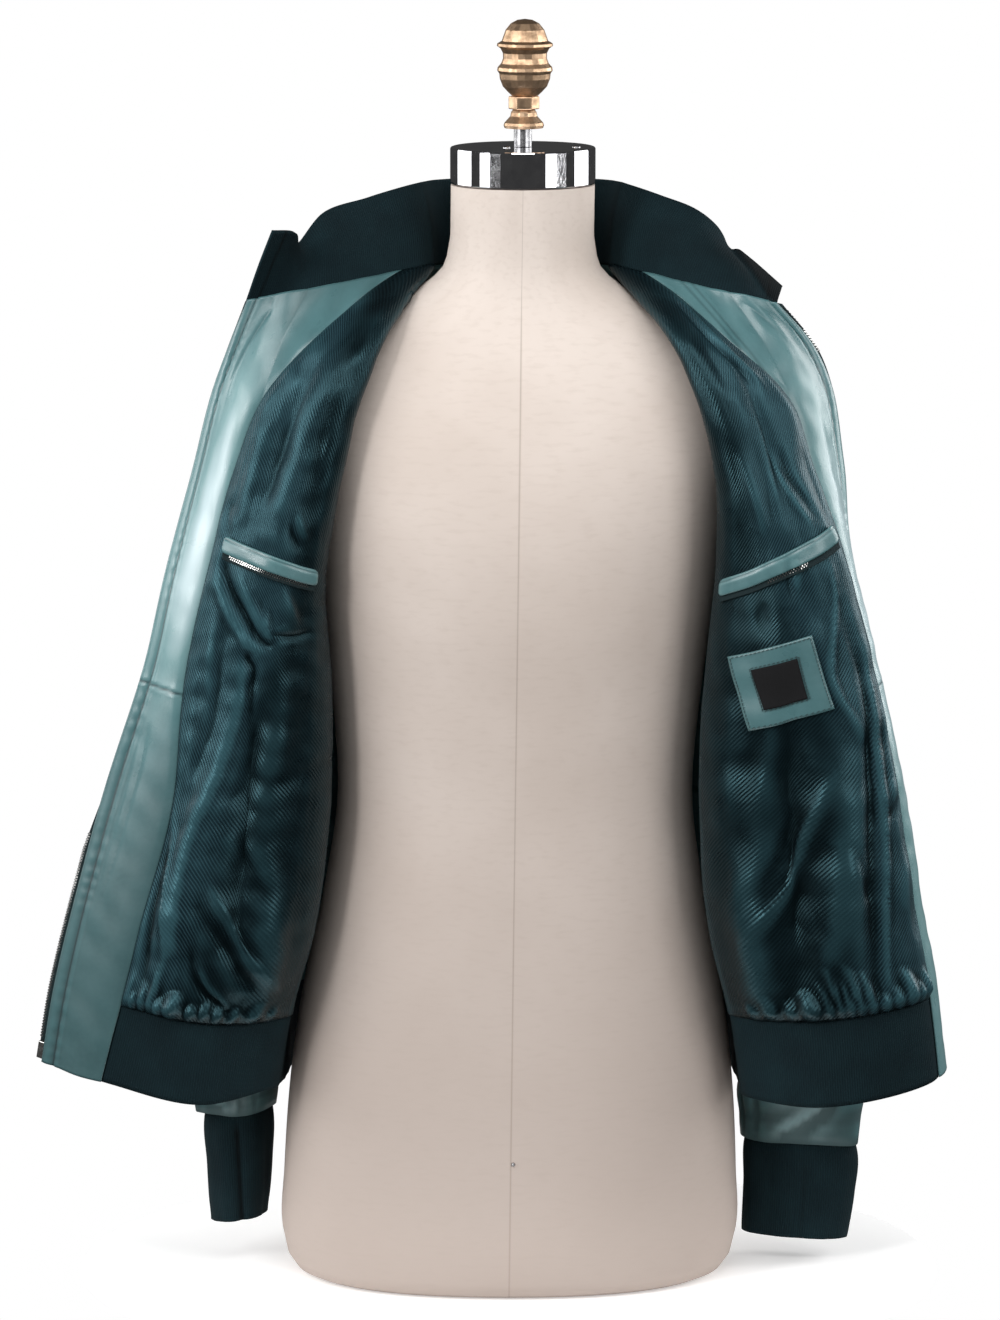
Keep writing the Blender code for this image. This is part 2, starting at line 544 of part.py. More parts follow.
def inset(points, low=True, high=True, left=True, right=True, gap=SEAM_INSET):
    """The grid with its borders drawn in by a seam's half gap."""
    moved = np.array(points)
    if low:
        moved[0] += unit(points[1] - points[0]) * gap
    if high:
        moved[-1] += unit(points[-2] - points[-1]) * gap
    if left:
        moved[:, 0] += unit(points[:, 1] - points[:, 0]) * gap
    if right:
        moved[:, -1] += unit(points[:, -2] - points[:, -1]) * gap
    return moved


def cloth(name, points, outward, thickness, finish, wrap=False, grows_out=False):
    """A cloth wall: its points are the face away from the wearer, or the one towards them if it grows out."""
    along = points[:, 1] - points[:, 0]
    up = np.gradient(points[:, 0], axis=0)
    facing_out = np.sum(np.cross(along, up) * outward[:, 0]) > 0
    obj = add_object(name, grid_mesh(name, points, wrap, flip=not facing_out), finish)
    add_wall(obj, thickness, grows_out)
    return obj


def add_wall(obj, thickness, grows_out):
    wall = obj.modifiers.new("wall", "SOLIDIFY")
    wall.thickness = thickness
    wall.offset = 1 if grows_out else -1
    wall.use_even_offset = False


def layer(name, grid, rows, columns, offset, thickness, finish, grows_out=False):
    """One layer of a panel: part of its grid, one face moved out by this offset."""
    points, normals = grid[0][rows, columns], grid[1][rows, columns]
    return cloth(name, inset(points + normals * offset), normals, thickness, finish, grows_out=grows_out)


# ---------------------------------------------------------------- the jacket's pieces
def build_front(label, grid):
    """Leather to the hem inside the facing, and to the band beyond it, as one piece."""
    points = grid[0]
    mesh = grid_mesh("front_" + label, inset(points), flip=label == "right")
    bm = bmesh.new()
    bm.from_mesh(mesh)
    bm.verts.ensure_lookup_table()
    columns = points.shape[1]
    band = []
    for face in bm.faces:
        rows = [vert.index // columns for vert in face.verts]
        places = [vert.index % columns for vert in face.verts]
        if max(rows) <= BAND_ROWS and min(places) >= FACING_COLUMNS:
            band.append(face)
    bmesh.ops.delete(bm, geom=band, context="FACES")
    bm.to_mesh(mesh)
    bm.free()
    add_wall(add_object("front_" + label, mesh, "leather"), LEATHER, grows_out=True)


def build_front_layers(label, grid):
    build_front(label, grid)
    everything = slice(None)
    facing = slice(0, FACING_COLUMNS + 1)
    lining = slice(FACING_COLUMNS, None)
    above_band = slice(BAND_ROWS, None)
    layer("facing_" + label, grid, everything, facing, -LAYER_GAP, LEATHER, "leather")
    layer("lining_" + label, grid, above_band, lining, -LAYER_GAP, LINING, "satin")


def build_back(grid):
    layer("back", grid, slice(BAND_ROWS, None), slice(None), 0, LEATHER, "leather", grows_out=True)


def build_hem_band(right, back, left):
    """One strip of rib from the right facing round the back to the left facing."""
    band = slice(0, BAND_ROWS + 1)
    runs, outs = [], []
    for points, normals in ((right[0][band, FACING_COLUMNS:], right[1][band, FACING_COLUMNS:]),
                            (back[0][band, 1:-1], back[1][band, 1:-1]),
                            (left[0][band, :FACING_COLUMNS - 1:-1], left[1][band, :FACING_COLUMNS - 1:-1])):
        runs.append(points)
        outs.append(normals)
    points = np.concatenate(runs, axis=1)
    normals = np.concatenate(outs, axis=1)
    outer = points + normals * (LEATHER + KNIT) / 2
    cloth("hem_band", inset(outer, low=False), normals, KNIT, "knit")


def armhole_ring(side):
    """The armhole's points, all round, at the heights of the panels' rows."""
    angles = np.linspace(0, 2 * math.pi, 2 * ARMHOLE_ROWS, endpoint=False)
    ring = armhole_point(side, angles)
    middle = ring.mean(axis=0)
    outwards = np.array([side, 0, 0])
    return ring + unit(ring - middle) * SLEEVE_FLUSH + outwards * SLEEVE_SEAM


def tube_ring(side, inner, outer, y_front, y_back, twist, count):
    """A flattened ring that starts at its outer point and runs round by the front."""
    angles = np.linspace(0, 2 * math.pi, count, endpoint=False)
    inner = np.array([inner[0], (y_front + y_back) / 2, inner[1]])
    outer = np.array([outer[0], (y_front + y_back) / 2, outer[1]])
    middle = (inner + outer) / 2
    half_depth = (y_back - y_front) / 2
    power = 0.85
    cos = np.sign(np.cos(angles)) * np.abs(np.cos(angles)) ** power
    sin = np.sign(np.sin(angles)) * np.abs(np.sin(angles)) ** power
    ring = middle + np.outer(cos, (outer - inner) / 2) + np.outer(sin, [0, -half_depth, 0])
    turn = math.radians(twist)
    offset = ring - middle
    ring[:, 0] = middle[0] + offset[:, 0] * math.cos(turn) - offset[:, 1] * math.sin(turn)
    ring[:, 1] = middle[1] + offset[:, 0] * math.sin(turn) + offset[:, 1] * math.cos(turn)
    return ring * np.array([side, 1, 1])


def sleeve_points(side, table, count, rows):
    rings = [armhole_ring(side)]
    for row in table:
        rings.append(tube_ring(side, (row.inner_out, row.inner_z), (row.outer_out, row.outer_z),
                               row.y_front, row.y_back, row.twist, count))
    lengths = [0.0] + [row.length for row in table]
    share = np.linspace(0, 1, rows + 1)
    at = lengths[-1] * share
    points = smooth(lengths, rings, at)
    middle = points.mean(axis=1, keepdims=True)
    spread = np.zeros(len(at))
    for length, depth in SLEEVE_FOLDS:
        spread += depth * np.exp(-(((at - length) / SLEEVE_FOLD_LENGTH) ** 2))
    return points + unit(points - middle) * spread[:, None, None]


def build_sleeve(label, side, table, cuff):
    """A top sleeve outside and an under sleeve inside, seamed at the front and the back, and the cuff."""
    count = 2 * ARMHOLE_ROWS
    points = lean(sleeve_points(side, table, count, SLEEVE_ROWS))
    outward = unit(points - points.mean(axis=1, keepdims=True))
    quarter = count // 4
    top_columns = np.arange(-quarter, quarter + 1)
    under_columns = np.arange(quarter, count - quarter + 1)
    for name, columns in (("sleeve_top_", top_columns), ("sleeve_under_", under_columns)):
        piece = inset(points[:, columns], low=False, high=False, gap=SLEEVE_SEAM_INSET)
        cloth(name + label, piece, outward[:, columns], LEATHER, "leather")
    rings = [tube_ring(side, (row.inner_out, row.z_inner), (row.outer_out, row.z_outer),
                       row.y_front, row.y_back, row.twist, count) for row in cuff]
    shares = np.linspace(0, len(cuff) - 1, 4)
    points = lean(smooth(range(len(cuff)), rings, shares))
    middle = points.mean(axis=1, keepdims=True)
    cloth("cuff_" + label, points, unit(points - middle), KNIT, "knit", wrap=True)


def collar_stands(shares, table):
    """(middle, top) offsets of the collar at shares of one front's neckline."""
    knots = [row.share for row in table] + [1.0]
    middle = [row.middle for row in table] + [COLLAR_NECK]
    top = [row.top for row in table] + [COLLAR_NECK_TOP]
    return smooth(knots, middle, shares), smooth(knots, top, shares)


def seam_stations(line, below, count):
    """Evenly spaced points along a seam, and the way the cloth under it runs up into each."""
    lengths = np.concatenate([[0], np.cumsum(np.linalg.norm(np.diff(line, axis=0), axis=1))])
    knots = lengths / lengths[-1]
    shares = np.linspace(0, 1, count + 1)
    return smooth(knots, line, shares), unit(smooth(knots, line - below, shares)), shares


def build_collar(right, back, left):
    """The rib collar stands on the neckline, from one front edge round the neck to the other."""
    seams, ways, middles, tops = [], [], [], []
    neckline = slice(0, FACING_COLUMNS + OPEN_COLUMNS + 1)
    for grid, side, table in ((right, -1, RIGHT_COLLAR), (left, 1, LEFT_COLLAR)):
        seam, way, shares = seam_stations(grid[0][-1, neckline], grid[0][-2, neckline], COLLAR_FRONT_STEPS)
        middle, top = collar_stands(shares, table)
        mirror = np.array([side, 1, 1])
        seams.append(seam)
        ways.append(way)
        middles.append(middle * mirror)
        tops.append(top * mirror)
    neck = slice(FLANK_COLUMNS, -FLANK_COLUMNS)
    seam, way, shares = seam_stations(back[0][-1, neck], back[0][-2, neck], COLLAR_NECK_STEPS)
    across = 2 * shares[1:-1, None] - 1
    sideways = np.concatenate([np.sign(across), np.ones_like(across), np.ones_like(across)], axis=1)
    blend = np.abs(across) ** 1.5
    seams.insert(1, seam[1:-1])
    ways.insert(1, way[1:-1])
    middles.insert(1, np.array(COLLAR_BACK) * (1 - blend) + COLLAR_NECK * sideways * blend)
    tops.insert(1, np.array(COLLAR_BACK_TOP) * (1 - blend) + COLLAR_NECK_TOP * sideways * blend)
    base, way, middle, top = (np.concatenate([run[0], run[1], run[2][::-1]]) for run in (seams, ways, middles, tops))
    bend = np.linalg.norm(np.cross(way, unit(middle)), axis=1, keepdims=True)
    rise = way * (COLLAR_SEAM + bend * KNIT / 2)
    shares = np.linspace(0, 1, COLLAR_ROWS + 1)
    points = smooth([0, 0.5, 1], [base + rise, base + middle, base + top], shares)
    normals = -normals_of(points)
    cloth("collar", points + normals * KNIT / 2, normals, KNIT, "knit")


def strip_points(side, table, strip, t_shift, width, columns, rows):
    """Panel points and normals under a strip that slants across the panel."""
    share = np.linspace(0, 1, columns + 1)
    across = np.linspace(-0.5, 0.5, rows + 1)[:, None] * width
    s = strip.s_outer + (strip.s_inner - strip.s_outer) * share + across * 0
    t = strip.t_outer + (strip.t_inner - strip.t_outer) * share + across + t_shift
    return surface_at(side, table, s, t)


def surface_at(side, table, s, t):
    """(points, outward normals) of a front's inner face at any s and t, folds included."""
    step = 0.002

    def place(s_at, t_at):
        points = front_points(side, table, s_at, t_at)
        along = front_points(side, table, s_at + step, t_at) - points
        up = front_points(side, table, s_at, t_at + step) - points
        outward = unit(np.cross(along, up)) * side
        return clear_of_form(points + outward * fold_shift(side, s_at, t_at)[..., None])

    points = place(s, t)
    along = place(s + step, t) - points
    up = place(s, t + step) - points
    return lean(points), unit(np.cross(along, up)) * side


def build_pocket(label, side, table, strip):
    """A leather welt on the lining, and the closed zip just under it."""
    lift = LAYER_GAP + LINING + LAYER_GAP
    points, normals = strip_points(side, table, strip, 0, strip.width, STRIP_COLUMNS, 2)
    cloth("pocket_welt_" + label, points - normals * (lift + 0.0012), normals, WELT_THICK, "leather")
    drop = -(strip.width + POCKET_ZIP_WIDTH) / 2 - 0.0008
    points, normals = strip_points(side, table, strip, drop, POCKET_ZIP_WIDTH, STRIP_COLUMNS, 1)
    cloth("pocket_zip_" + label, points - normals * (lift + 0.0012), normals, 0.0010, "zip_tape")


def square_points(side, table, share, cells):
    """A square that lies on the panel inside the patch's corners, this share of the patch wide."""
    span = 0.5 + np.linspace(-0.5, 0.5, cells + 1) * share
    inwards, down = np.meshgrid(span, span)
    top_outer, top_inner, foot_outer, foot_inner = np.array(PATCH_CORNERS)[:, :, None, None]
    top = top_outer * (1 - inwards) + top_inner * inwards
    foot = foot_outer * (1 - inwards) + foot_inner * inwards
    s, t = top * (1 - down) + foot * down
    return surface_at(side, table, s, t)


def build_label():
    lift = LAYER_GAP + LINING + LAYER_GAP + 0.0010
    points, normals = square_points(1, LEFT_FRONT, 1.0, PATCH_CELLS)
    cloth("label_patch", points - normals * lift, normals, LEATHER, "leather")
    lift += LEATHER + LAYER_GAP
    points, normals = square_points(1, LEFT_FRONT, LABEL_SHARE, PATCH_CELLS)
    cloth("label", points - normals * lift, normals, LINING, "label")


def edge_frame(grid, height):
    """The front edge at this height above the hem: a matrix whose X leaves the cloth, Y faces out, Z is up."""
    t = grid[3][:, 0]
    origin = Vector(smooth(t, grid[0][:, 0], [height])[0])
    inside = Vector(smooth(t, grid[0][:, 1], [height])[0])
    above = Vector(smooth(t, grid[0][:, 0], [height + 0.01])[0])
    up = (above - origin).normalized()
    away = (origin - inside).normalized()
    outward = up.cross(away).normalized()
    normal = Vector(smooth(t, grid[1][:, 0], [height])[0])
    if outward.dot(normal) < 0:
        outward.negate()
    away = (outward.cross(up) if outward.cross(up).dot(away) > 0 else up.cross(outward)).normalized()
    frame = Matrix((away, outward, up)).transposed().to_4x4()
    frame.translation = origin + away * SEAM_INSET
    return frame


def build_zip_tape(label, grid, bottom):
    """One half of the front zip, from just over its end piece to the collar."""
    t = grid[3][:, 0]
    heights = np.concatenate([[bottom], t[t > bottom + 0.012]])
    edge = smooth(t, grid[0][:, 0], heights)
    away = unit(edge - smooth(t, grid[0][:, 1], heights))
    normals = smooth(t, grid[1][:, 0], heights)
    near = edge + away * SEAM_INSET
    far = edge + away * (SEAM_INSET + ZIP_TAPE_WIDTH)
    points = np.stack([near, far], axis=1) + normals[:, None] * ZIP_TAPE_THICK / 2
    outward = np.stack([normals, normals], axis=1)
    cloth("zip_tape_" + label, inset(points, left=False, right=False), outward, ZIP_TAPE_THICK, "zip_tape")


def block(name, size, centre, frame, finish, bevel):
    """A box with rounded edges, placed in a frame."""
    bm = bmesh.new()
    bmesh.ops.create_cube(bm, size=1)
    bmesh.ops.scale(bm, vec=size, verts=bm.verts)
    mesh = bpy.data.meshes.new(name)
    bm.to_mesh(mesh)
    bm.free()
    obj = add_object(name, mesh, finish)
    obj.matrix_world = frame @ Matrix.Translation(centre)
    if bevel:
        rounding = obj.modifiers.new("rounded edges", "BEVEL")
        rounding.width = bevel
        rounding.segments = 2
    return obj


def cylinder(name, radius, bottom, top, finish, sides, bevel=0.0, x=0.0):
    bm = bmesh.new()
    bmesh.ops.create_cone(bm, cap_ends=True, segments=sides, radius1=radius, radius2=radius, depth=top - bottom)
    mesh = bpy.data.meshes.new(name)
    bm.to_mesh(mesh)
    bm.free()
    mesh.shade_smooth()
    mesh.set_sharp_from_angle(angle=math.radians(40))
    obj = add_object(name, mesh, finish)
    obj.location = (x, 0, (bottom + top) / 2)
    if bevel:
        rounding = obj.modifiers.new("rounded edges", "BEVEL")
        rounding.width = bevel
        rounding.segments = 2
        rounding.limit_method = "ANGLE"
    return obj


def as_cutter(obj):
    for collection in list(obj.users_collection):
        collection.objects.unlink(obj)
    bpy.data.collections["cutters"].objects.link(obj)
    obj.hide_render = True
    obj.display_type = "WIRE"


def join_to(obj, other, operation):
    combine = obj.modifiers.new(operation.lower(), "BOOLEAN")
    combine.operation = operation
    combine.object = other
    as_cutter(other)


def rod_across(name, radius, length, centre, frame, sides=12):
    """A round rod along the frame's X."""
    bm = bmesh.new()
    turn = Matrix.Rotation(math.pi / 2, 3, "Y")
    bmesh.ops.create_cone(bm, cap_ends=True, segments=sides, radius1=radius, radius2=radius, depth=length)
    bmesh.ops.rotate(bm, matrix=turn, verts=bm.verts)
    mesh = bpy.data.meshes.new(name)
    bm.to_mesh(mesh)
    bm.free()
    obj = add_object(name, mesh, "zip_metal")
    obj.matrix_world = frame @ Matrix.Translation(centre)
    return obj


def hanging_frame(frame):
    """The frame turned about its X until its Z is as upright as that allows."""
    axis = frame.col[0].to_3d()
    up = Vector((0, 0, 1))
    up = (up - axis * up.dot(axis)).normalized()
    hanging = Matrix((axis, up.cross(axis), up)).transposed().to_4x4()
    hanging.translation = frame.translation
    return hanging


def build_zip_ends(right, left):
    """The insertion pin on the right front, and the box, slider and hinged pull on the left."""
    shift = (ZIP_END_WIDTH / 2, ZIP_TAPE_THICK / 4, ZIP_END_HEIGHT / 2 + 0.002)
    size = (ZIP_END_WIDTH, ZIP_END_THICK, ZIP_END_HEIGHT)
    block("zip_pin", size, shift, edge_frame(right, 0.0), "zip_metal", 0.0006)
    frame = edge_frame(left, 0.0)
    block("zip_box", size, shift, frame, "zip_metal", 0.0006)

    slider_low = ZIP_END_HEIGHT + 0.0025
    middle = Vector((SLIDER_WIDTH / 2, ZIP_TAPE_THICK / 4, slider_low + SLIDER_HEIGHT / 2))
    slider = block("zip_slider", (SLIDER_WIDTH, SLIDER_THICK, SLIDER_HEIGHT), middle, frame, "zip_metal", 0.0007)
    hinge = middle + Vector((0, SLIDER_THICK / 2 + PULL_STANDOFF, 0.002))
    for name, sign in (("lug_near", -1), ("lug_far", 1)):
        across = sign * (PULL_WIDTH / 2 + METAL_GAP + LUG_THICK / 2)
        place = middle + Vector((across, (SLIDER_THICK + LUG_REACH) / 2 - 0.0005, 0.002))
        lug = block(name, (LUG_THICK, LUG_REACH, 0.0030), place, frame, "zip_metal", 0)
        join_to(slider, lug, "UNION")
    pin_length = PULL_WIDTH + 2 * METAL_GAP + LUG_THICK
    join_to(slider, rod_across("pull_pin", PULL_PIN_RADIUS, pin_length, hinge, frame), "UNION")

    pull_frame = hanging_frame(frame @ Matrix.Translation(hinge))
    eye = rod_across("zip_pull", PULL_EYE_RADIUS, PULL_WIDTH, (0, 0, 0), pull_frame, sides=16)
    blade_centre = (0, 0, -PULL_LENGTH / 2)
    blade = block("pull_blade", (PULL_WIDTH, PULL_THICK, PULL_LENGTH), blade_centre, pull_frame, "zip_metal", 0)
    join_to(eye, blade, "UNION")
    join_to(eye, rod_across("pull_hole", PULL_HOLE_RADIUS, PULL_WIDTH * 2, (0, 0, 0), pull_frame, 16), "DIFFERENCE")


# ---------------------------------------------------------------- the form's pieces
def build_form():
    """Rings of a rounded section, closed at the neck and flat underneath."""
    angles = np.linspace(0, 2 * math.pi, FORM_SIDES, endpoint=False)
    cos, sin = np.cos(angles), np.sin(angles)
    size = (np.abs(cos) ** FORM_POWER + np.abs(sin) ** FORM_POWER) ** (-1 / FORM_POWER)
    rings = []
    for row in FORM_ROWS:
        depth = np.where(sin < 0, row.front, row.back)
        ring = np.stack([row.half_width * size * cos, depth * size * sin, np.full(FORM_SIDES, row.z)], axis=1)
        rings.append(ring)
    mesh = grid_mesh("form", lean(rings), wrap=True)
    bm = bmesh.new()
    bm.from_mesh(mesh)
    bmesh.ops.holes_fill(bm, edges=[edge for edge in bm.edges if edge.is_boundary], sides=0)
    bmesh.ops.recalc_face_normals(bm, faces=bm.faces)
    bm.to_mesh(mesh)
    bm.free()
    mesh.shade_smooth()
    mesh.set_sharp_from_angle(angle=math.radians(50))
    add_object("form", mesh, "canvas")


def turned(name, profile, finish, top=None):
    """A profile of (radius, height), top to bottom, turned round the form's axis."""
    x = LEAN * profile[0][1]
    outline = [(0.0, top if top else profile[0][1])] + list(profile) + [(0.0, profile[-1][1])]
    mesh = bpy.data.meshes.new(name)
    edges = [(i, i + 1) for i in range(len(outline) - 1)]
    mesh.from_pydata([(radius, 0, z) for radius, z in outline], edges, [])
    obj = add_object(name, mesh, finish)
    obj.location = (x, 0, 0)
    lathe = obj.modifiers.new("turning", "SCREW")
    lathe.axis = "Z"
    lathe.steps = FINIAL_SIDES
    lathe.render_steps = FINIAL_SIDES
    lathe.use_merge_vertices = True
    lathe.merge_threshold = 0.00001
    lathe.use_smooth_shade = True
    return obj


def build_metalwork():
    x = LEAN * CAP_BOTTOM
    cap_top = CAP_BOTTOM + METAL_GAP + CAP_HEIGHT
    cylinder("neck_cap", CAP_RADIUS, CAP_BOTTOM + METAL_GAP, cap_top, "chrome", 40, 0.0012, x)
    cylinder("post", POST_RADIUS, cap_top + METAL_GAP, POST_TOP, "steel", 20, 0, x)
    turned("finial_foot", FOOT_PROFILE, "brass")
    hexagon = cylinder("finial_nut", HEX_RADIUS, HEX_BOTTOM, HEX_TOP, "brass", 6, 0.0008, LEAN * HEX_TOP)
    hexagon.rotation_euler.z = math.radians(30)
    turned("finial", FINIAL_PROFILE, "brass", FINIAL_TOP)


def build():
    for obj in list(bpy.data.objects):
        bpy.data.objects.remove(obj, do_unlink=True)
    for name in ("leather_jacket_on_form", "cutters"):
        bpy.context.scene.collection.children.link(bpy.data.collections.new(name))
    bpy.data.collections["cutters"].hide_render = True

    right = front_grid(-1, RIGHT_FRONT)
    left = front_grid(1, LEFT_FRONT)
    back = back_grid()
    build_front_layers("right", right)
    build_front_layers("left", left)
    build_back(back)
    build_hem_band(right, back, left)
    build_collar(right, back, left)
    build_sleeve("right", -1, RIGHT_SLEEVE, RIGHT_CUFF)
    build_sleeve("left", 1, LEFT_SLEEVE, LEFT_CUFF)
    build_pocket("right", -1, RIGHT_FRONT, RIGHT_WELT)
    build_pocket("left", 1, LEFT_FRONT, LEFT_WELT)
    build_label()
    zip_start = ZIP_END_HEIGHT + 0.003
    build_zip_tape("right", right, zip_start)
    build_zip_tape("left", left, zip_start + SLIDER_HEIGHT)
    build_zip_ends(right, left)
    build_form()
    build_metalwork()


build()
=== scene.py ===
"""Looks for a leather bomber jacket, worn wide open on a limbless canvas dress form.

Metres, +Z up, +Y away from the viewer; tables inside mm(...) and those of creases are in millimetres.
The wearer's right is at -X. The jacket's panels are worked out from the same sections as the solids, on
finer grids, and carry their creases, seams and stitches. A place on a front is (s, t): s is the cloth from
the front edge, t the height above the hem. A place on the back is (q, t), q being measured from its
centre, minus to the wearer's right.
"""

import math
from collections import namedtuple

import bmesh
import bpy
import numpy as np
from mathutils import Matrix, Vector


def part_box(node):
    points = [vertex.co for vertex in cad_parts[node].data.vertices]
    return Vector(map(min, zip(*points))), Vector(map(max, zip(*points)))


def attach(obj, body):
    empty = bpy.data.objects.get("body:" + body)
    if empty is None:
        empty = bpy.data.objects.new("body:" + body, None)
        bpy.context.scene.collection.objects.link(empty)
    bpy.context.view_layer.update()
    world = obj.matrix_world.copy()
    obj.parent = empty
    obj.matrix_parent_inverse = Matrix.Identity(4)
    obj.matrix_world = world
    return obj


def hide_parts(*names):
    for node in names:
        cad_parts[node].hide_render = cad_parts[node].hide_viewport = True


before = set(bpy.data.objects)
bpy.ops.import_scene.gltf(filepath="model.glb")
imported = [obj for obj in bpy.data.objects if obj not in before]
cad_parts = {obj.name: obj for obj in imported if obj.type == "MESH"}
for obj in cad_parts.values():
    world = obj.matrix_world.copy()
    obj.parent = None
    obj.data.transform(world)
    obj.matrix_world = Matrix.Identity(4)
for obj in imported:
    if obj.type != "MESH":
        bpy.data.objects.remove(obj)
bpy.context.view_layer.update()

# ---------------------------------------------------------------- driving sizes
MM = 0.001
RIGHT, LEFT = -1, 1      # the wearer's sides, and the sign of x there
SIDES = (RIGHT, LEFT)
LABEL = {RIGHT: "right", LEFT: "left"}

LEAN = 0.0125            # sideways lean of form and jacket for each metre of height
LEATHER = 0.0012
LINING = 0.0010
KNIT = 0.0024
LAYER_GAP = 0.0007       # between one cloth layer and the next
SEAM_INSET = 0.0004      # each piece stops this far short of its seam
FORM_CLEARANCE = 0.0045  # inner face of the leather to the canvas, lining and air between

BAND_HEIGHT = 0.064
UNDERARM = 0.395         # height t of the underarm above the hem, measured on the panel
PANEL_TOP = 0.640        # height t of the neckline and shoulder seam


def mm(value):
    """A number, or nested tuples of numbers, from millimetres."""
    return tuple(map(mm, value)) if isinstance(value, tuple) else value / 1000


# ---------------------------------------------------------------- the dress form
FORM_POWER = 2.25        # 2 would be an ellipse
FormRow = namedtuple("FormRow", "z half_width front back")
FORM_ROWS = [FormRow(*row) for row in mm((
    (0, 160, 112, 112),
    (4, 169, 120, 120),
    (14, 176, 126, 126),
    (34, 180.5, 130, 131),
    (80, 179.5, 129, 133),
    (150, 175.5, 124, 134),
    (220, 167, 115, 128),
    (300, 151, 107, 117),
    (380, 140, 105, 108),
    (460, 145, 111, 112),
    (540, 156, 121, 124),
    (610, 168, 121, 132),
    (665, 180, 109, 131),
    (705, 184, 92, 121),
    (735, 172, 76, 107),
    (757, 134, 64, 88),
    (775, 92, 56, 74),
    (792, 66, 52, 62),
    (815, 57, 52, 57),
    (840, 56, 54, 56),
    (862, 56, 55, 55),
))]

# ---------------------------------------------------------------- sections of the jacket
# t is the height above the hem along the cloth. Each column is (out, y).
Section = namedtuple("Section", "t z_edge z_inner z_fold edge outer inner fold flank")
COLUMN_PLACES = (0.0, 0.062, 0.135, 0.180, 0.225, 0.270)  # cloth from the front edge
ROLL = 3                 # the column where the front turns outwards
FRONT = {
    RIGHT: [Section(*row) for row in mm((
        (0, 178, 153, 160, (368, -62), (312, -90), (236, -106), (190, -82), (183, -36)),
        (64, 240, 219, 218, (358, -71), (300, -98), (228, -114), (178, -83), (176, -36)),
        (130, 300, 285, 280, (344, -76), (288, -104), (212, -120), (161, -86), (167, -36)),
        (240, 400, 392, 390, (318, -80), (262, -107), (190, -116), (147, -82), (159, -32)),
        (345, 500, 495, 492, (287, -85), (237, -108), (179, -112), (147, -82), (164, -30)),
        (430, 577, 573, 570, (270, -82), (224, -106), (176, -115), (151, -92), (172, -40)),
        (505, 650, 650, 650, (251, -76), (212, -98), (164, -112), (139, -100), (167, -60)),
        (565, 710, 715, 717, (236, -70), (196, -88), (146, -100), (122, -92), (158, -62)),
        (605, 746, 756, 760, (224, -66), (182, -68), (130, -70), (102, -62), (149, -36)),
        (640, 778, 791, 797, (212, -60), (166, -46), (112, -14), (69, 20), (137, 24)),
    ))],
    LEFT: [Section(*row) for row in mm((
        (0, 180, 151, 154, (336, -24), (328, -84), (236, -108), (186, -84), (181, -36)),
        (64, 243, 222, 219, (327, -28), (319.5, -88), (230, -116), (175, -83), (174, -36)),
        (130, 307, 290, 283, (314, -34), (306.6, -94), (216, -121), (158, -84), (165, -34)),
        (240, 405, 396, 392, (297, -40), (289, -100), (200, -120), (147, -84), (158, -32)),
        (345, 502, 497, 494, (275, -44), (266, -104), (192, -120), (149, -86), (164, -30)),
        (430, 580, 576, 573, (258, -45), (245, -104), (188, -118), (155, -96), (172, -42)),
        (505, 650, 652, 652, (250, -45), (221, -96), (178, -114), (152, -104), (172, -62)),
        (565, 708, 714, 718, (240, -45), (204, -82), (160, -102), (133, -96), (162, -64)),
        (605, 744, 755, 760, (223, -46), (183, -66), (138, -74), (110, -66), (151, -36)),
        (640, 775, 790, 797, (197, -50), (160, -48), (112, -18), (69, 20), (137, 24)),
    ))],
}
FACING = mm((            # (t, width of the right front's facing, width of the left one's)
    (0, 53, 50),
    (130, 60, 52),
    (240, 60, 52),
    (345, 40, 45),
    (430, 43, 47),
    (505, 51, 54),
    (565, 68, 70),
    (605, 103, 112),
    (640, 150, 150),
))
SIDE_SEAM = mm((         # (t, out, y, z)
    (0, 180, 2, 150),
    (64, 179, 6, 212),
    (130, 184, 10, 275),
    (240, 180, 14, 384),
    (345, 182, 14, 484),
    (395, 184, 14, 532),
))

BackRow = namedtuple("BackRow", "t z_middle z_centre middle blade centre")
BACK_PLACES = (0.0, 0.1, 0.19, 0.28)  # cloth from the centre: centre, shoulder blade, middle and side
BACK = [BackRow(*row) for row in mm((
    (0, 150, 149, (168, 86), (105, 138), 151),
    (64, 212, 212, (170, 88), (106, 140), 153),
    (130, 275, 275, (184, 96), (118, 156), 168),
    (240, 384, 384, (174, 94), (112, 146), 156),
    (345, 486, 487, (175, 94), (114, 146), 156),
    (430, 566, 570, (178, 94), (118, 150), 159),
    (505, 640, 650, (180, 94), (118, 144), 153),
    (565, 697, 712, (174, 86), (112, 126), 138),
    (605, 738, 752, (158, 60), (92, 96), 118),
    (640, 777, 792, (137, 24), (69, 20), 90),
))]
NECK_POINT = (0.069, 0.020, 0.797)
SHOULDER_TIP = (0.205, 0.020, 0.750)
SHOULDER_RISE = 0.004    # the shoulder seam bows up this far between them
ARMHOLE_FRONT = -0.032
ARMHOLE_BACK = 0.066

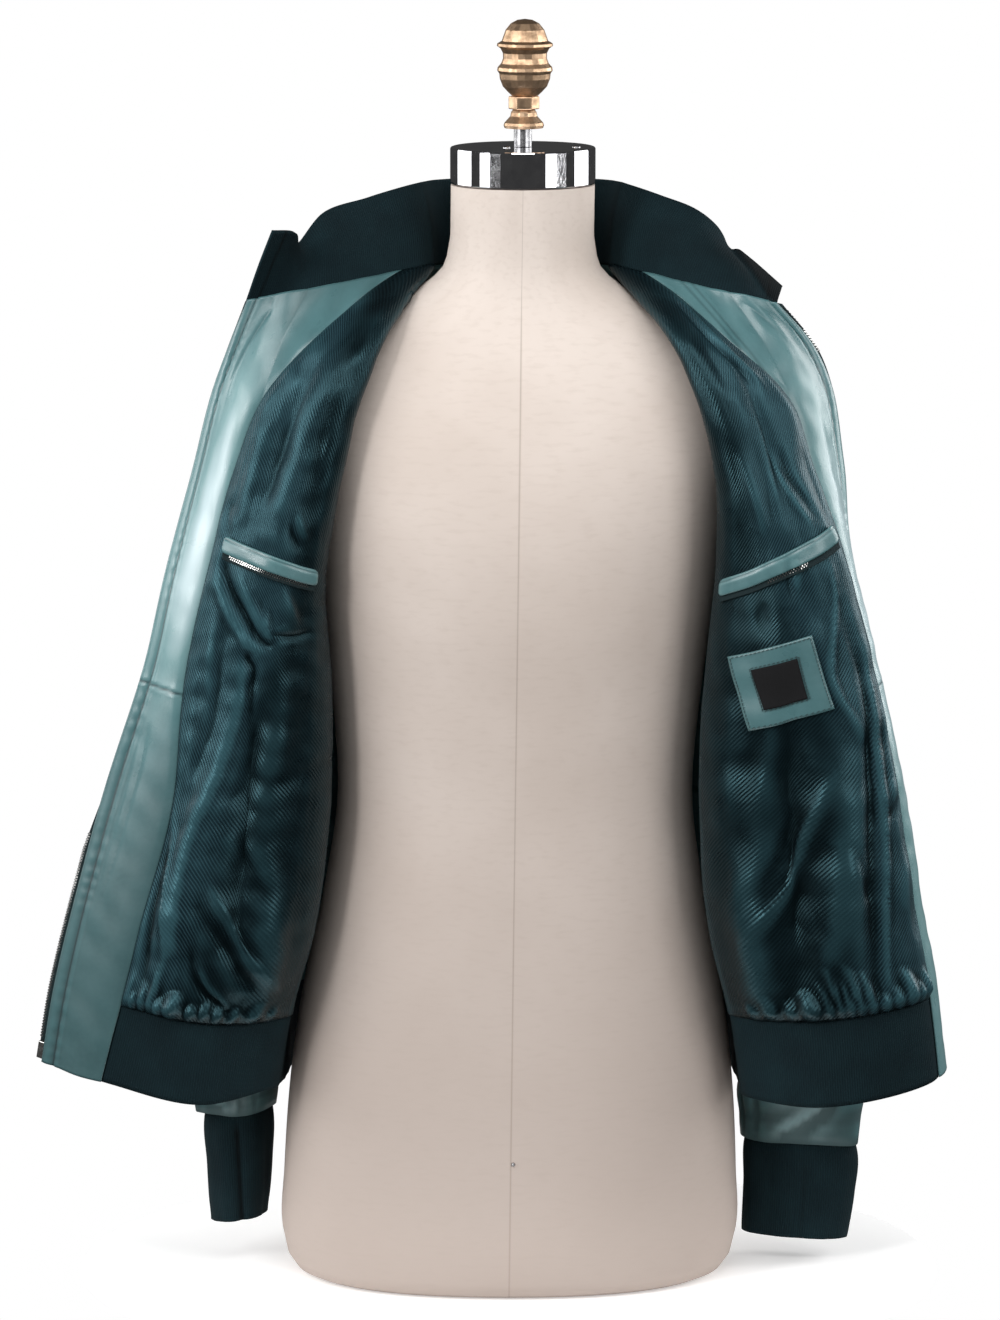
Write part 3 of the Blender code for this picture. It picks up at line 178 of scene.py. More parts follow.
# A fold is a soft ridge on the leather's outer side, or a trough where depth is negative.
# Side 0 is the back, where s is measured from its centre.
Fold = namedtuple("Fold", "side s t_low t_high slant depth half_width")
FOLDS = (
    Fold(-1, 0.120, 0.10, 0.37, -0.10, 0.011, 0.013),
    Fold(-1, 0.088, 0.06, 0.30, 0.04, -0.006, 0.012),
    Fold(-1, 0.150, 0.05, 0.20, -0.10, -0.007, 0.010),
    Fold(-1, 0.105, 0.46, 0.60, 0.15, 0.005, 0.014),
    Fold(1, 0.100, 0.05, 0.33, -0.05, -0.007, 0.012),
    Fold(1, 0.128, 0.05, 0.36, -0.05, 0.010, 0.012),
    Fold(1, 0.155, 0.04, 0.22, -0.05, -0.006, 0.010),
    Fold(1, 0.110, 0.44, 0.60, 0.10, 0.006, 0.016),
    Fold(0, -0.165, 0.07, 0.44, 0.18, 0.011, 0.024),
    Fold(0, 0.150, 0.07, 0.40, -0.16, 0.010, 0.026),
    Fold(0, -0.075, 0.07, 0.27, 0.14, -0.008, 0.022),
    Fold(0, 0.050, 0.07, 0.34, -0.10, 0.010, 0.022),
    Fold(0, -0.010, 0.30, 0.58, 0.10, -0.007, 0.030),
    Fold(0, 0.110, 0.36, 0.60, 0.20, -0.007, 0.024),
)


# ---------------------------------------------------------------- curves
def bell(distance, width):
    """1 at distance 0, falling off smoothly to both sides."""
    return np.exp(-((distance / width) ** 2))


def ramp(distance, length=1.0):
    """0 up to distance 0, rising evenly to 1 over the length."""
    return np.clip(distance / length, 0, 1)


def eased(share):
    """The same 0 to 1, with a soft start and end."""
    return share * share * (3 - 2 * share)


def read_table(table, at):
    """A table of (place, value), read along straight lines between its rows."""
    return np.interp(at, *np.transpose(table))


def unit(vectors):
    """Each vector at length 1."""
    return vectors / np.maximum(np.linalg.norm(vectors, axis=-1, keepdims=True), 1e-12)


def path_lengths(points):
    """How far along a row of points each of them is."""
    return np.concatenate([[0], np.cumsum(np.linalg.norm(np.diff(points, axis=0), axis=1))])


def smooth(knots, values, at, own=None):
    """A Catmull-Rom curve through the values at the knots, read at each place in at.

    With own, place n reads only column own[n] of the values.
    """
    knots = np.asarray(knots, float)
    values = np.asarray(values, float)
    at = np.asarray(at, float)
    steps = np.diff(knots).reshape(-1, *([1] * (values.ndim - 1)))
    slopes = np.diff(values, axis=0) / steps
    inner = (slopes[:-1] * steps[1:] + slopes[1:] * steps[:-1]) / (steps[1:] + steps[:-1])
    turns = np.concatenate([slopes[:1], inner, slopes[-1:]])
    span = np.clip(np.searchsorted(knots, at) - 1, 0, len(knots) - 2)

    def pick(table, index):
        return table[index] if own is None else table[index, own]

    shape = (-1,) + (1,) * (pick(values, span).ndim - 1)
    width = (knots[span + 1] - knots[span]).reshape(shape)
    u = ((at - knots[span]) / width.reshape(-1)).reshape(shape)
    start = (1 + 2 * u) * (1 - u) ** 2 * pick(values, span) + u * (1 - u) ** 2 * width * pick(turns, span)
    end = u * u * (3 - 2 * u) * pick(values, span + 1) + u * u * (u - 1) * width * pick(turns, span + 1)
    return start + end


def steps(low, high, cell):
    """Evenly spaced values from low to high, about a cell apart."""
    return np.linspace(low, high, max(2, round((high - low) / cell)) + 1)


def grid_of(s_row, t_row):
    """(s, t) at every crossing of a row of places and a column of heights."""
    shape = (len(t_row), len(s_row))
    return np.broadcast_to(s_row, shape), np.broadcast_to(t_row[:, None], shape)


def normals_of(points):
    """Unit normals of a grid of points, whose rows run upwards and whose columns run along."""
    return unit(np.cross(np.gradient(points, axis=1), np.gradient(points, axis=0)))


# ---------------------------------------------------------------- surfaces of the form and the jacket
def lean(points):
    """The same points on the leaning form."""
    moved = np.array(points, float)
    moved[..., 0] += LEAN * moved[..., 2]
    return moved


def form_sizes(heights):
    """(half width, front, back) of the form at these heights."""
    rows = np.array(FORM_ROWS)
    return smooth(rows[:, 0], rows[:, 1:], heights)


def form_reach(points):
    """1 on the canvas, more outside it, less inside."""
    sizes = form_sizes(np.clip(points[:, 2], FORM_ROWS[0].z, FORM_ROWS[-1].z))
    depth = np.where(points[:, 1] < 0, sizes[:, 1], sizes[:, 2])
    total = np.abs(points[:, 0] / sizes[:, 0]) ** FORM_POWER + np.abs(points[:, 1] / depth) ** FORM_POWER
    return np.maximum(total, 1e-9) ** (1 / FORM_POWER)


PROBE = 0.0004           # distance between two readings of the form's reach
PUSHES = 6               # sunk cloth is moved out in this many moves
LONGEST_PUSH = 0.004


def clear_of_form(points):
    """Cloth that would sink into the form is moved out until it rests just off it."""
    moved = points.reshape(-1, 3).copy()
    for _ in range(PUSHES):
        reach = form_reach(moved)
        slope = np.stack([(form_reach(moved + PROBE * axis) - reach) / PROBE for axis in np.eye(3)], axis=1)
        size = np.maximum(np.linalg.norm(slope, axis=1), 1e-6)
        shortfall = np.clip(FORM_CLEARANCE - (reach - 1) / size, 0, LONGEST_PUSH)
        moved += slope / size[:, None] * shortfall[:, None]
    return moved.reshape(points.shape)


def armhole_point(side, angle):
    """A point of the armhole: angle 0 is the shoulder tip, a quarter turn the front, a half the underarm."""
    tip = np.array(SHOULDER_TIP)
    under = np.array(SIDE_SEAM[-1][1:])
    middle = (tip + under) / 2
    upright = (tip - under) / 2
    angle = np.asarray(angle, float)[..., None]
    front = np.array([0, ARMHOLE_FRONT - middle[1], 0])
    back = np.array([0, middle[1] - ARMHOLE_BACK, 0])
    across = np.where(np.sin(angle) > 0, front, back)
    ring = middle + upright * np.cos(angle) + across * np.sin(angle)
    return ring * np.array([side, 1, 1])


def seam_line(side, t, which):
    """The side seam up to the underarm, then the front (+1) or back (-1) half of the armhole."""
    rows = np.array(SIDE_SEAM)
    below = smooth(rows[:, 0], rows[:, 1:], np.minimum(t, UNDERARM)) * np.array([side, 1, 1])
    share = ramp(t - UNDERARM, PANEL_TOP - UNDERARM)
    above = armhole_point(side, which * math.pi * (1 - share))
    return np.where((t <= UNDERARM)[:, None], below, above)


def shoulder_line(side, share):
    """From the neck point (share 0) to the shoulder tip (share 1)."""
    share = np.asarray(share, float)[..., None]
    line = np.array(NECK_POINT) * (1 - share) + np.array(SHOULDER_TIP) * share
    line = line + np.array([0, 0, 4 * SHOULDER_RISE]) * share * (1 - share)
    return line * np.array([side, 1, 1])


def back_neckline(share):
    """A quarter of an ellipse on each side, from the centre of the back neck to the neck point."""
    angle = share * math.pi / 2
    centre = BACK[-1]
    x = NECK_POINT[0] * np.sin(angle)
    y = NECK_POINT[1] + (centre.centre - NECK_POINT[1]) * np.cos(angle)
    z = NECK_POINT[2] + (centre.z_centre - NECK_POINT[2]) * np.cos(angle)
    return np.stack([x, y, z], axis=1)


def fold_shift(side, s, t):
    """How far the folds of one side push the cloth outwards."""
    total = np.zeros(np.shape(s))
    for fold in FOLDS:
        if fold.side != side:
            continue
        middle = (fold.t_low + fold.t_high) / 2
        across = s - fold.s - fold.slant * (t - middle)
        along = ramp(t - fold.t_low, fold.t_high - fold.t_low)
        total += fold.depth * bell(across, fold.half_width) * np.sin(math.pi * along) ** 1.5
    return total


def front_points(side, s, t):
    """Inner face of a front panel, for grids s (cloth from the front edge) and t (height)."""
    rows = []
    for row in FRONT[side]:
        heights = (row.z_edge, (row.z_edge + row.z_inner) / 2, row.z_inner, row.z_fold)
        places = (row.edge, row.outer, row.inner, row.fold)
        columns = [(side * out, y, z) for (out, y), z in zip(places, heights)]
        at_side = seam_line(side, np.array([row.t]), 1)[0]
        columns.append((side * row.flank[0], row.flank[1], (row.z_fold + at_side[2]) / 2))
        rows.append(columns)
    rows[-1][-1] = tuple(shoulder_line(side, 0.5))
    flat_s, flat_t = s.ravel(), t.ravel()
    columns = smooth([row.t for row in FRONT[side]], rows, flat_t)
    columns = np.concatenate([columns, seam_line(side, flat_t, 1)[:, None]], axis=1)
    points = smooth(COLUMN_PLACES, columns.swapaxes(0, 1), flat_s, own=np.arange(len(flat_s)))
    return points.reshape(s.shape + (3,))


def back_points(q, t):
    """Inner face of the back, for grids q (cloth from the centre, minus to the right) and t."""
    rows = []
    for row in BACK:
        z_blade = (row.z_middle + row.z_centre) / 2
        rows.append([(0, row.centre, row.z_centre), (*row.blade, z_blade), (*row.middle, row.z_middle)])
    rows[-1][1] = NECK_POINT
    rows[-1][2] = tuple(shoulder_line(1, 0.5))
    flat_q, flat_t = q.ravel(), t.ravel()
    half = smooth([row.t for row in BACK], rows, flat_t)
    half = np.concatenate([half, seam_line(1, flat_t, -1)[:, None]], axis=1)
    mirrored = half[:, :0:-1] * np.array([-1, 1, 1])
    columns = np.concatenate([mirrored, half], axis=1)
    places = [-place for place in BACK_PLACES[:0:-1]] + list(BACK_PLACES)
    points = smooth(places, columns.swapaxes(0, 1), flat_q, own=np.arange(len(flat_q)))
    return points.reshape(q.shape + (3,))


def ripple(s, t, seed, height, short, long):
    """A soft unevenness of the cloth: a sum of a few slanting waves, the same ones each time."""
    rng = np.random.default_rng(seed)
    total = np.zeros(np.shape(s))
    waves = 9
    for _ in range(waves):
        angle = rng.uniform(0, math.pi)
        length = rng.uniform(short, long)
        phase = rng.uniform(0, 2 * math.pi)
        total += np.sin((s * math.cos(angle) + t * math.sin(angle)) * 2 * math.pi / length + phase)
    return total * height / math.sqrt(waves)


SHOULDER_FADE = (PANEL_TOP - UNDERARM) / 8  # the shoulder seam's bow fades over this much cloth


def shoulder_fade(t):
    """1 at the neckline and shoulder seam, 0 where their shape has faded."""
    return np.clip(1 - (PANEL_TOP - t) / SHOULDER_FADE, 0, 1)[..., None]


def front_panel(side, s, t):
    """(points, outward normals) of a front's inner face, with the folds that all its layers share."""
    points = front_points(side, s, t)
    if t[-1, 0] == PANEL_TOP:
        roll = COLUMN_PLACES[ROLL]
        share = (s[-1] - roll) / (COLUMN_PLACES[-1] - roll)
        drop = np.where((share >= 0)[:, None], shoulder_line(side, share) - points[-1], 0)
        points = points + drop * shoulder_fade(t)
    outward = normals_of(points) * side
    waves = ripple(s, t, 11 + side, 0.0004, 0.05, 0.16)
    points = clear_of_form(points + outward * (fold_shift(side, s, t) + waves)[..., None])
    return lean(points), normals_of(points) * side


def back_panel(q, t, relief=0.0):
    """(points, outward normals) of the back's inner face, with its folds and this extra relief."""
    points = back_points(q, t)
    neck, edge = BACK_PLACES[1], BACK_PLACES[-1]
    if t[-1, 0] == PANEL_TOP:
        top = q[-1]
        share = ramp(np.abs(top) - neck, edge - neck)
        mirror = np.stack([np.sign(top), np.ones_like(top), np.ones_like(top)], axis=1)
        neckline = back_neckline(np.clip(top / neck, -1, 1))
        seam = np.where((np.abs(top) > neck)[:, None], shoulder_line(1, share) * mirror, neckline)
        points = points + (seam - points[-1]) * shoulder_fade(t)
    points = clear_of_form(points - normals_of(points) * (fold_shift(0, q, t) + relief)[..., None])
    return lean(points), -normals_of(points)


def facing_width(side, t):
    """How far a front's facing reaches inwards from its edge."""
    rows = np.array(FACING)
    return smooth(rows[:, 0], rows[:, 1 if side == RIGHT else 2], t)


# ---------------------------------------------------------------- creases and gathers
# A crease, in millimetres: how far it stands out on its piece's shown side, or in where that is negative,
# its half width, its cliff, and its path of (s, t). Cliff 1 makes its side to the front edge steep, and -1
# its side to the form.
LINING_CREASES = {
    RIGHT: (
        (-3.0, 9, 0, ((97, 556), (96, 530), (98, 500), (92, 470))),
        (2.4, 9, 0, ((118, 560), (118, 520), (116, 485), (112, 462))),
        (2.2, 7, 0, ((76, 545), (76, 515), (74, 485), (72, 462))),
        (-2.4, 5, 0, ((58, 482), (57, 468), (62, 455))),
        (-2.6, 4, 0, ((126, 470), (132, 458), (140, 449))),
        (2.2, 4, 0, ((133, 478), (139, 466), (147, 456))),
        (-3.5, 14, 0, ((112, 622), (120, 608), (132, 590))),
        (-2.0, 6, 0, ((142, 545), (143, 520), (145, 495))),
        (-5.0, 4.5, 0, ((60, 436), (66, 424), (76, 409), (92, 391), (105, 375), (116, 369), (122, 374))),
        (3.6, 5, 0, ((57, 418), (66, 403), (80, 386), (94, 372), (104, 362))),
        (3.8, 6, 0, ((80, 428), (92, 408), (106, 390), (112, 381))),
        (2.0, 3, -1, ((112, 406), (113, 388), (117, 377), (128, 376))),
        (3.5, 12, -1, ((126, 418), (136, 400), (142, 386))),
        (-3.2, 4, 0, ((112, 375), (126, 377), (142, 378), (158, 382))),
        (-3.4, 5, 0, ((98, 366), (98, 356), (104, 346), (104, 328), (106, 300))),
        (3.4, 8, -1, ((92, 352), (95, 334), (95, 305), (93, 280), (90, 250), (86, 225), (84, 196),
         (85, 168), (88, 140), (92, 118), (96, 100))),
        (-4.0, 10, 0, ((104, 330), (110, 300), (110, 270), (104, 240), (100, 212), (96, 186), (97, 160))),
        (2.0, 9, 0, ((132, 340), (134, 310), (132, 280), (130, 250), (126, 225))),
        (2.2, 6, 0, ((60, 398), (62, 370), (64, 345), (70, 318))),
        (-1.8, 5, 0, ((72, 360), (76, 330), (78, 300), (74, 270))),
        (2.8, 4, 1, ((60, 246), (64, 225), (70, 205), (76, 172), (82, 140), (86, 120), (83, 90))),
        (-4.4, 5, 0, ((65, 196), (67, 175), (69, 150), (71, 125), (73, 100), (74, 86))),
        (-3.4, 6, 0, ((97, 160), (108, 146), (119, 133), (134, 113), (150, 98), (160, 84))),
        (3.4, 6, -1, ((101, 178), (113, 160), (126, 142), (140, 122), (154, 104), (162, 92))),
        (-3.2, 4, 0, ((101, 128), (108, 104), (118, 90), (130, 80), (142, 71))),
        (2.4, 2.6, 1, ((112, 106), (120, 94), (132, 84), (146, 71))),
        (3.0, 8, 0, ((122, 124), (134, 104), (146, 88))),
        (-2.0, 5, 0, ((112, 215), (126, 196), (138, 176), (150, 156))),
        (1.8, 7, 0, ((118, 226), (134, 204), (146, 184))),
    ),
    LEFT: (
        (-3.2, 4, 0, ((146, 618), (138, 602), (127, 590), (114, 580), (104, 568))),
        (3.0, 5, 1, ((140, 622), (129, 604), (117, 592), (105, 582), (96, 572))),
        (-3.0, 8, 0, ((124, 610), (108, 596), (94, 584), (84, 572))),
        (-1.8, 7, 0, ((150, 600), (142, 578), (138, 556))),
        (2.0, 5, 0, ((121, 548), (118, 522), (117, 500), (113, 478))),
        (2.0, 6, 0, ((145, 520), (140, 498), (133, 474), (131, 455))),
        (-2.0, 6, 0, ((131, 540), (129, 515), (125, 490), (122, 462))),
        (-2.6, 3.5, 0, ((93, 520), (90, 500), (83, 482), (76, 466))),
        (2.4, 4, 1, ((101, 520), (98, 500), (91, 480), (84, 464))),
        (-2.0, 5, 0, ((70, 530), (66, 500), (64, 470), (60, 440))),
        (3.2, 5, 1, ((76, 428), (79, 400), (86, 374), (92, 344), (90, 324), (84, 304), (80, 288))),
        (-4.4, 5, 0, ((74, 398), (73, 366), (70, 335), (73, 300), (79, 262), (84, 228), (88, 200),
         (91, 165), (93, 138), (96, 100), (96, 76))),
        (3.6, 4, 1, ((60, 366), (63, 330), (67, 295), (71, 250), (75, 205), (80, 160), (85, 118),
         (89, 80))),
        (-2.2, 3, 0, ((57, 340), (59, 310), (64, 270), (69, 220))),
        (1.6, 2, 0, ((66, 340), (70, 300), (75, 250), (80, 205))),
        (-2.4, 3, 0, ((98, 206), (96, 190), (95, 170), (93, 150))),
        (4.2, 6, -1, ((102, 258), (110, 235), (118, 213), (125, 190), (137, 164), (150, 142), (158, 128))),
        (-3.0, 6, 0, ((112, 262), (120, 238), (128, 215), (136, 190), (148, 166), (158, 148))),
        (2.2, 3, 0, ((124, 226), (130, 206), (135, 188), (142, 170))),
        (-3.6, 9, 0, ((108, 205), (118, 180), (126, 156), (136, 132))),
        (3.8, 7, 0, ((97, 200), (103, 166), (109, 138), (116, 112), (124, 92))),
        (2.0, 7, 0, ((114, 262), (124, 232), (132, 212))),
        (-2.4, 6, 0, ((140, 300), (146, 270), (150, 240))),
        (-2.4, 5, 0, ((150, 62), (146, 78), (140, 90))),
        (2.0, 3, 0, ((158, 62), (152, 74), (147, 84))),
        (2.2, 5, 0, ((62, 250), (66, 238), (72, 228))),
        (-1.8, 4, 0, ((58, 236), (64, 226), (70, 216))),
        (2.2, 6, 0, ((60, 180), (66, 160), (70, 136))),
        (-2.0, 5, 0, ((52, 150), (58, 132), (62, 112))),
        (1.8, 4, 0, ((104, 438), (106, 424), (108, 412))),
        (-1.6, 4, 0, ((112, 440), (114, 420), (112, 400))),
        (-1.6, 5, 0, ((134, 404), (136, 392), (134, 380))),
    ),
}
FACING_CREASES = {
    RIGHT: (
        (-2.4, 3, 0, ((33, 628), (28, 612), (23, 594), (21, 576), (21, 556))),
        (1.6, 5, 0, ((24, 632), (17, 600), (15, 570), (16, 540), (16, 500))),
        (1.4, 6, 0, ((38, 600), (36, 570), (36, 530), (34, 490), (30, 440))),
        (0.8, 1.6, 0, ((31, 638), (33, 630), (37, 622))),
        (-0.9, 1.8, 0, ((27, 638), (29, 630))),
        (-1.2, 2.5, 0, ((22, 292), (26, 262), (27, 220), (26, 180), (25, 145))),
        (1.1, 3, 0, ((16, 300), (20, 262), (21, 220), (20, 180), (18, 130))),
        (-0.8, 7, 0, ((40, 200), (38, 150), (36, 90))),
    ),
    LEFT: (
        (-1.2, 4, 0, ((54, 636), (44, 622), (38, 606))),
        (1.2, 5, 0, ((46, 636), (36, 620), (30, 600), (28, 570))),
        (1.2, 6, 0, ((34, 560), (34, 520), (32, 470), (28, 420))),
        (-1.0, 3, 0, ((22, 520), (24, 480), (24, 440), (22, 400))),
        (-0.8, 3, 0, ((26, 320), (26, 260), (24, 200))),
    ),
}
BACK_CREASES = (
    (2.2, 15, 0, ((-235, 500), (-205, 440), (-160, 390), (-100, 352))),
    (-2.0, 16, 0, ((-222, 455), (-180, 400), (-130, 365))),
    (2.4, 14, 0, ((240, 470), (218, 410), (180, 350), (150, 280))),
    (-1.8, 16, 0, ((-20, 560), (-28, 490), (-20, 440))),
    (3.6, 10, 1, ((-250, 400), (-215, 360), (-190, 300), (-180, 240))),
    (-3.2, 12, 0, ((-225, 350), (-200, 290), (-192, 220))),
    (3.4, 10, -1, ((252, 390), (222, 340), (205, 280), (198, 215))),
    (-3.0, 12, 0, ((226, 330), (212, 260), (208, 190))),
    (4.0, 15, 1, ((-180, 160), (-110, 138), (-40, 132), (20, 140))),
    (-3.2, 12, 0, ((-150, 122), (-80, 104), (-20, 102))),
    (3.8, 14, -1, ((190, 175), (130, 150), (70, 128), (30, 118))),
    (-3.0, 11, 0, ((160, 130), (100, 108), (60, 98))),
    (2.6, 16, 0, ((-60, 420), (-45, 330), (-50, 240), (-40, 180))),
    (-2.4, 16, 0, ((20, 400), (35, 310), (28, 220))),
    (2.6, 15, 0, ((90, 380), (105, 300), (98, 230))),
    (-2.4, 9, 0, ((-70, 628), (-90, 600), (-120, 575))),
    (2.2, 9, 0, ((72, 626), (96, 598), (128, 580))),
)
FRONT_CREASES = (        # of the fronts' outer sides
    (3.0, 10, 0, ((262, 430), (225, 395), (190, 372), (150, 360))),
    (2.6, 11, 0, ((265, 360), (235, 320), (205, 290), (175, 276))),
    (3.2, 12, 0, ((262, 150), (210, 132), (150, 126), (95, 132))),
    (2.4, 9, 0, ((120, 470), (128, 420), (122, 360), (128, 300))),
    (2.4, 10, 0, ((80, 330), (92, 270), (88, 210))),
    (2.6, 10, 0, ((200, 250), (188, 205), (196, 165))),
    (2.2, 9, 0, ((150, 560), (165, 520), (190, 500))),
)
# Gathers where the lining is sewn to the band: (s, height above the band, half width, how far out)
GATHERS = {
    RIGHT: (
        (56, 16, 2.4, 2.6), (61, 24, 2.0, 2.0), (66, 12, 2.2, 2.8), (74, 20, 2.6, 2.2), (81, 28, 2.2, 2.8),
        (87, 12, 3.0, 3.0), (98, 18, 6.5, 6.0), (112, 12, 4.0, 3.2), (121, 16, 3.0, 2.4),
        (131, 14, 3.4, 3.0), (141, 12, 3.0, 2.6), (152, 16, 3.6, 2.6), (163, 12, 3.4, 2.2),
    ),
    LEFT: (
        (58, 20, 3.2, 3.4), (66, 14, 2.6, 2.2), (74, 24, 4.2, 4.0), (83, 14, 2.4, 2.4), (91, 12, 2.6, 2.2),
        (99, 28, 1.9, 3.0), (105, 34, 1.8, 3.2), (110, 26, 1.7, 3.0), (115, 32, 1.8, 2.8),
        (121, 22, 2.2, 2.8), (131, 18, 6.0, 6.0), (143, 14, 3.4, 2.6), (152, 18, 3.0, 2.2),
        (162, 12, 3.4, 2.4),
    ),
}
CREASE_SAMPLES = 10      # places read along a crease for each point of its path
CREASE_REACH = 3         # it is left out more than this many half widths away
STEEPNESS = 2.6          # how much narrower a crease's steep side is
GATHER_REACH = 1.35      # the gathers rise this much higher than their listed heights
PUCKERS = 0.0011         # how deep the leather is gathered where the rib band is sewn on
PUCKER_SPACING = 0.019
PUCKER_RISE = 0.034


def crease_relief(creases, s, t):
    """How far creases stand out at s and t. Each fades towards the ends of its path."""
    total = np.zeros(np.shape(s))
    for height, half_width, cliff, path in creases:
        knots = np.arange(len(path))
        line = smooth(knots, np.array(path) * MM, np.linspace(0, knots[-1], CREASE_SAMPLES * len(path)))
        width = half_width * MM
        reach = CREASE_REACH * width
        near = (s > line[:, 0].min() - reach) & (s < line[:, 0].max() + reach)
        near &= (t > line[:, 1].min() - reach) & (t < line[:, 1].max() + reach)
        if not near.any():
            continue
        away = np.stack([s[near], t[near]], axis=1)[:, None] - line
        distance = np.linalg.norm(away, axis=2)
        nearest = distance.argmin(axis=1)
        picked = np.arange(len(nearest)), nearest
        way = unit(np.gradient(line, axis=0))[nearest]
        to_form = way[:, 1] * away[picked][:, 0] - way[:, 0] * away[picked][:, 1] < 0
        body = np.sin(math.pi * ramp(nearest / (len(line) - 1) * 0.94 + 0.03)) ** 0.7
        steep = (to_form if cliff < 0 else ~to_form) & (cliff != 0)
        total[near] += height * MM * bell(distance[picked] * np.where(steep, STEEPNESS, 1), width) * body
    return total


def gather_relief(side, s, t):
    """Small pleats that rise from the band's seam, each narrower upwards."""
    total = np.zeros(np.shape(s))
    up = (t - BAND_HEIGHT) / MM
    for place, height, width, depth in GATHERS[side]:
        share = ramp(up, height * GATHER_REACH)
        bulge = 1.5 * np.sin(math.pi * ramp(share * 0.86 + 0.14)) ** 1.3 * (share < 1)
        drift = place + 0.12 * up
        total += depth * MM * bulge * bell(s / MM - drift, width * (1.15 - 0.5 * share))
    return total


def band_puckers(s, t):
    """Small uneven gathers of the leather just above the rib band."""
    beat = s * 2 * math.pi / PUCKER_SPACING + 1.9 * np.sin(s * 37) + 1.1 * np.sin(s * 91)
    beat = beat + 9 * (t - BAND_HEIGHT)
    up = np.maximum(t - BAND_HEIGHT, 0)
    return PUCKERS * (1 + np.sin(beat)) * np.exp(-up / PUCKER_RISE) * ramp(up, 0.006)


def blurred(values, cells, axis):
    """A running mean over a few cells, with the borders repeated."""
    padding = [(0, 0)] * values.ndim
    padding[axis] = (cells, cells)
    padded = np.pad(values, padding, mode="edge")
    summed = np.cumsum(padded, axis=axis)
    size = values.shape[axis]
    start = np.concatenate([np.zeros_like(summed.take([0], axis=axis)), summed], axis=axis)
    high = start.take(range(2 * cells + 1, 2 * cells + 1 + size), axis=axis)
    low = start.take(range(0, size), axis=axis)
    return (high - low) / (2 * cells + 1)


def hollowness(points, normals, cells, scale=0.0006):
    """-1 on a ridge seen from the normals' side, 0 where flat, 1 in a hollow."""
    around = blurred(blurred(points, cells, 0), cells, 1)
    rise = np.sum((around - points) * normals, axis=-1)
    return np.clip(rise / scale, -1, 1)


# ---------------------------------------------------------------- materials
TWILL_PITCH = 0.0020
RIB_PITCH = 0.0019
STITCH_PITCH = 0.0013
WEAVE_PITCH = 0.0011


class Paint:
    """A node material worked out from the piece's own coordinates: 'cloth' in metres, or the model's."""

    def __init__(self, name, roughness=0.5, metallic=0.0, **constants):
        self.material = bpy.data.materials.new(name)
        self.material.use_nodes = True
        self.tree = self.material.node_tree
        self.shader = self.tree.nodes["Principled BSDF"]
        self.shader.inputs["Roughness"].default_value = roughness
        self.shader.inputs["Metallic"].default_value = metallic
        for socket, value in constants.items():
            self.shader.inputs[socket.replace("_", " ")].default_value = value

    def node(self, kind, inputs, out=0, **settings):
        """Add a node; each input is another node's output, or a value."""
        made = self.tree.nodes.new("ShaderNode" + kind)
        for key, value in settings.items():
            setattr(made, key, value)
        for key, value in inputs.items():
            if isinstance(value, bpy.types.NodeSocket):
                self.tree.links.new(value, made.inputs[key])
            else:
                made.inputs[key].default_value = value
        return made.outputs[out]

    def math(self, operation, *values):
        return self.node("Math", dict(enumerate(values)), operation=operation)

    def cloth(self):
        return self.node("UVMap", {}, uv_map="cloth")

    def model(self):
        return self.node("TexCoord", {}, out="Object")

    def axes(self, vector):
        """The first two parts of a vector."""
        split = self.tree.nodes.new("ShaderNodeSeparateXYZ")
        self.tree.links.new(vector, split.inputs[0])
        return split.outputs[0], split.outputs[1]

    def noise(self, vector, scale, detail=2.0, stretch=None):
        if stretch:
            vector = self.node("VectorMath", {0: vector, 1: stretch}, operation="MULTIPLY")
        return self.node("TexNoise", {"Vector": vector, "Scale": scale, "Detail": detail})

    def cells(self, vector, scale):
        """Distance to the borders of small cells."""
        return self.node("TexVoronoi", {"Vector": vector, "Scale": scale}, feature="DISTANCE_TO_EDGE")

    def waves(self, operation, place, pitch):
        """A sine or cosine that repeats at this pitch."""
        return self.math(operation, self.math("MULTIPLY", place, 2 * math.pi / pitch))

    def attribute(self, name):
        return self.node("Attribute", {}, out="Fac", attribute_name=name)

    def spread(self, value, low, high, to_low=0.0, to_high=1.0):
        """Map low..high to to_low..to_high, and no further."""
        return self.node("MapRange", {0: value, 1: low, 2: high, 3: to_low, 4: to_high})

    def mix(self, factor, first, second):
        """A blend of two colours, each a node's output or (red, green, blue)."""
        first, second = (color + (1.0,) if isinstance(color, tuple) else color for color in (first, second))
        return self.node("Mix", {0: factor, 6: first, 7: second}, out=2, data_type="RGBA")

    def bump(self, height, distance, strength, normal=None):
        inputs = {"Height": height, "Distance": distance, "Strength": strength}
        if normal:
            inputs["Normal"] = normal
        return self.node("Bump", inputs)

    def use(self, **sockets):
        """Link the shader's sockets and return the material."""
        for name, value in sockets.items():
            self.tree.links.new(value, self.shader.inputs[name.replace("_", " ")])
        return self.material


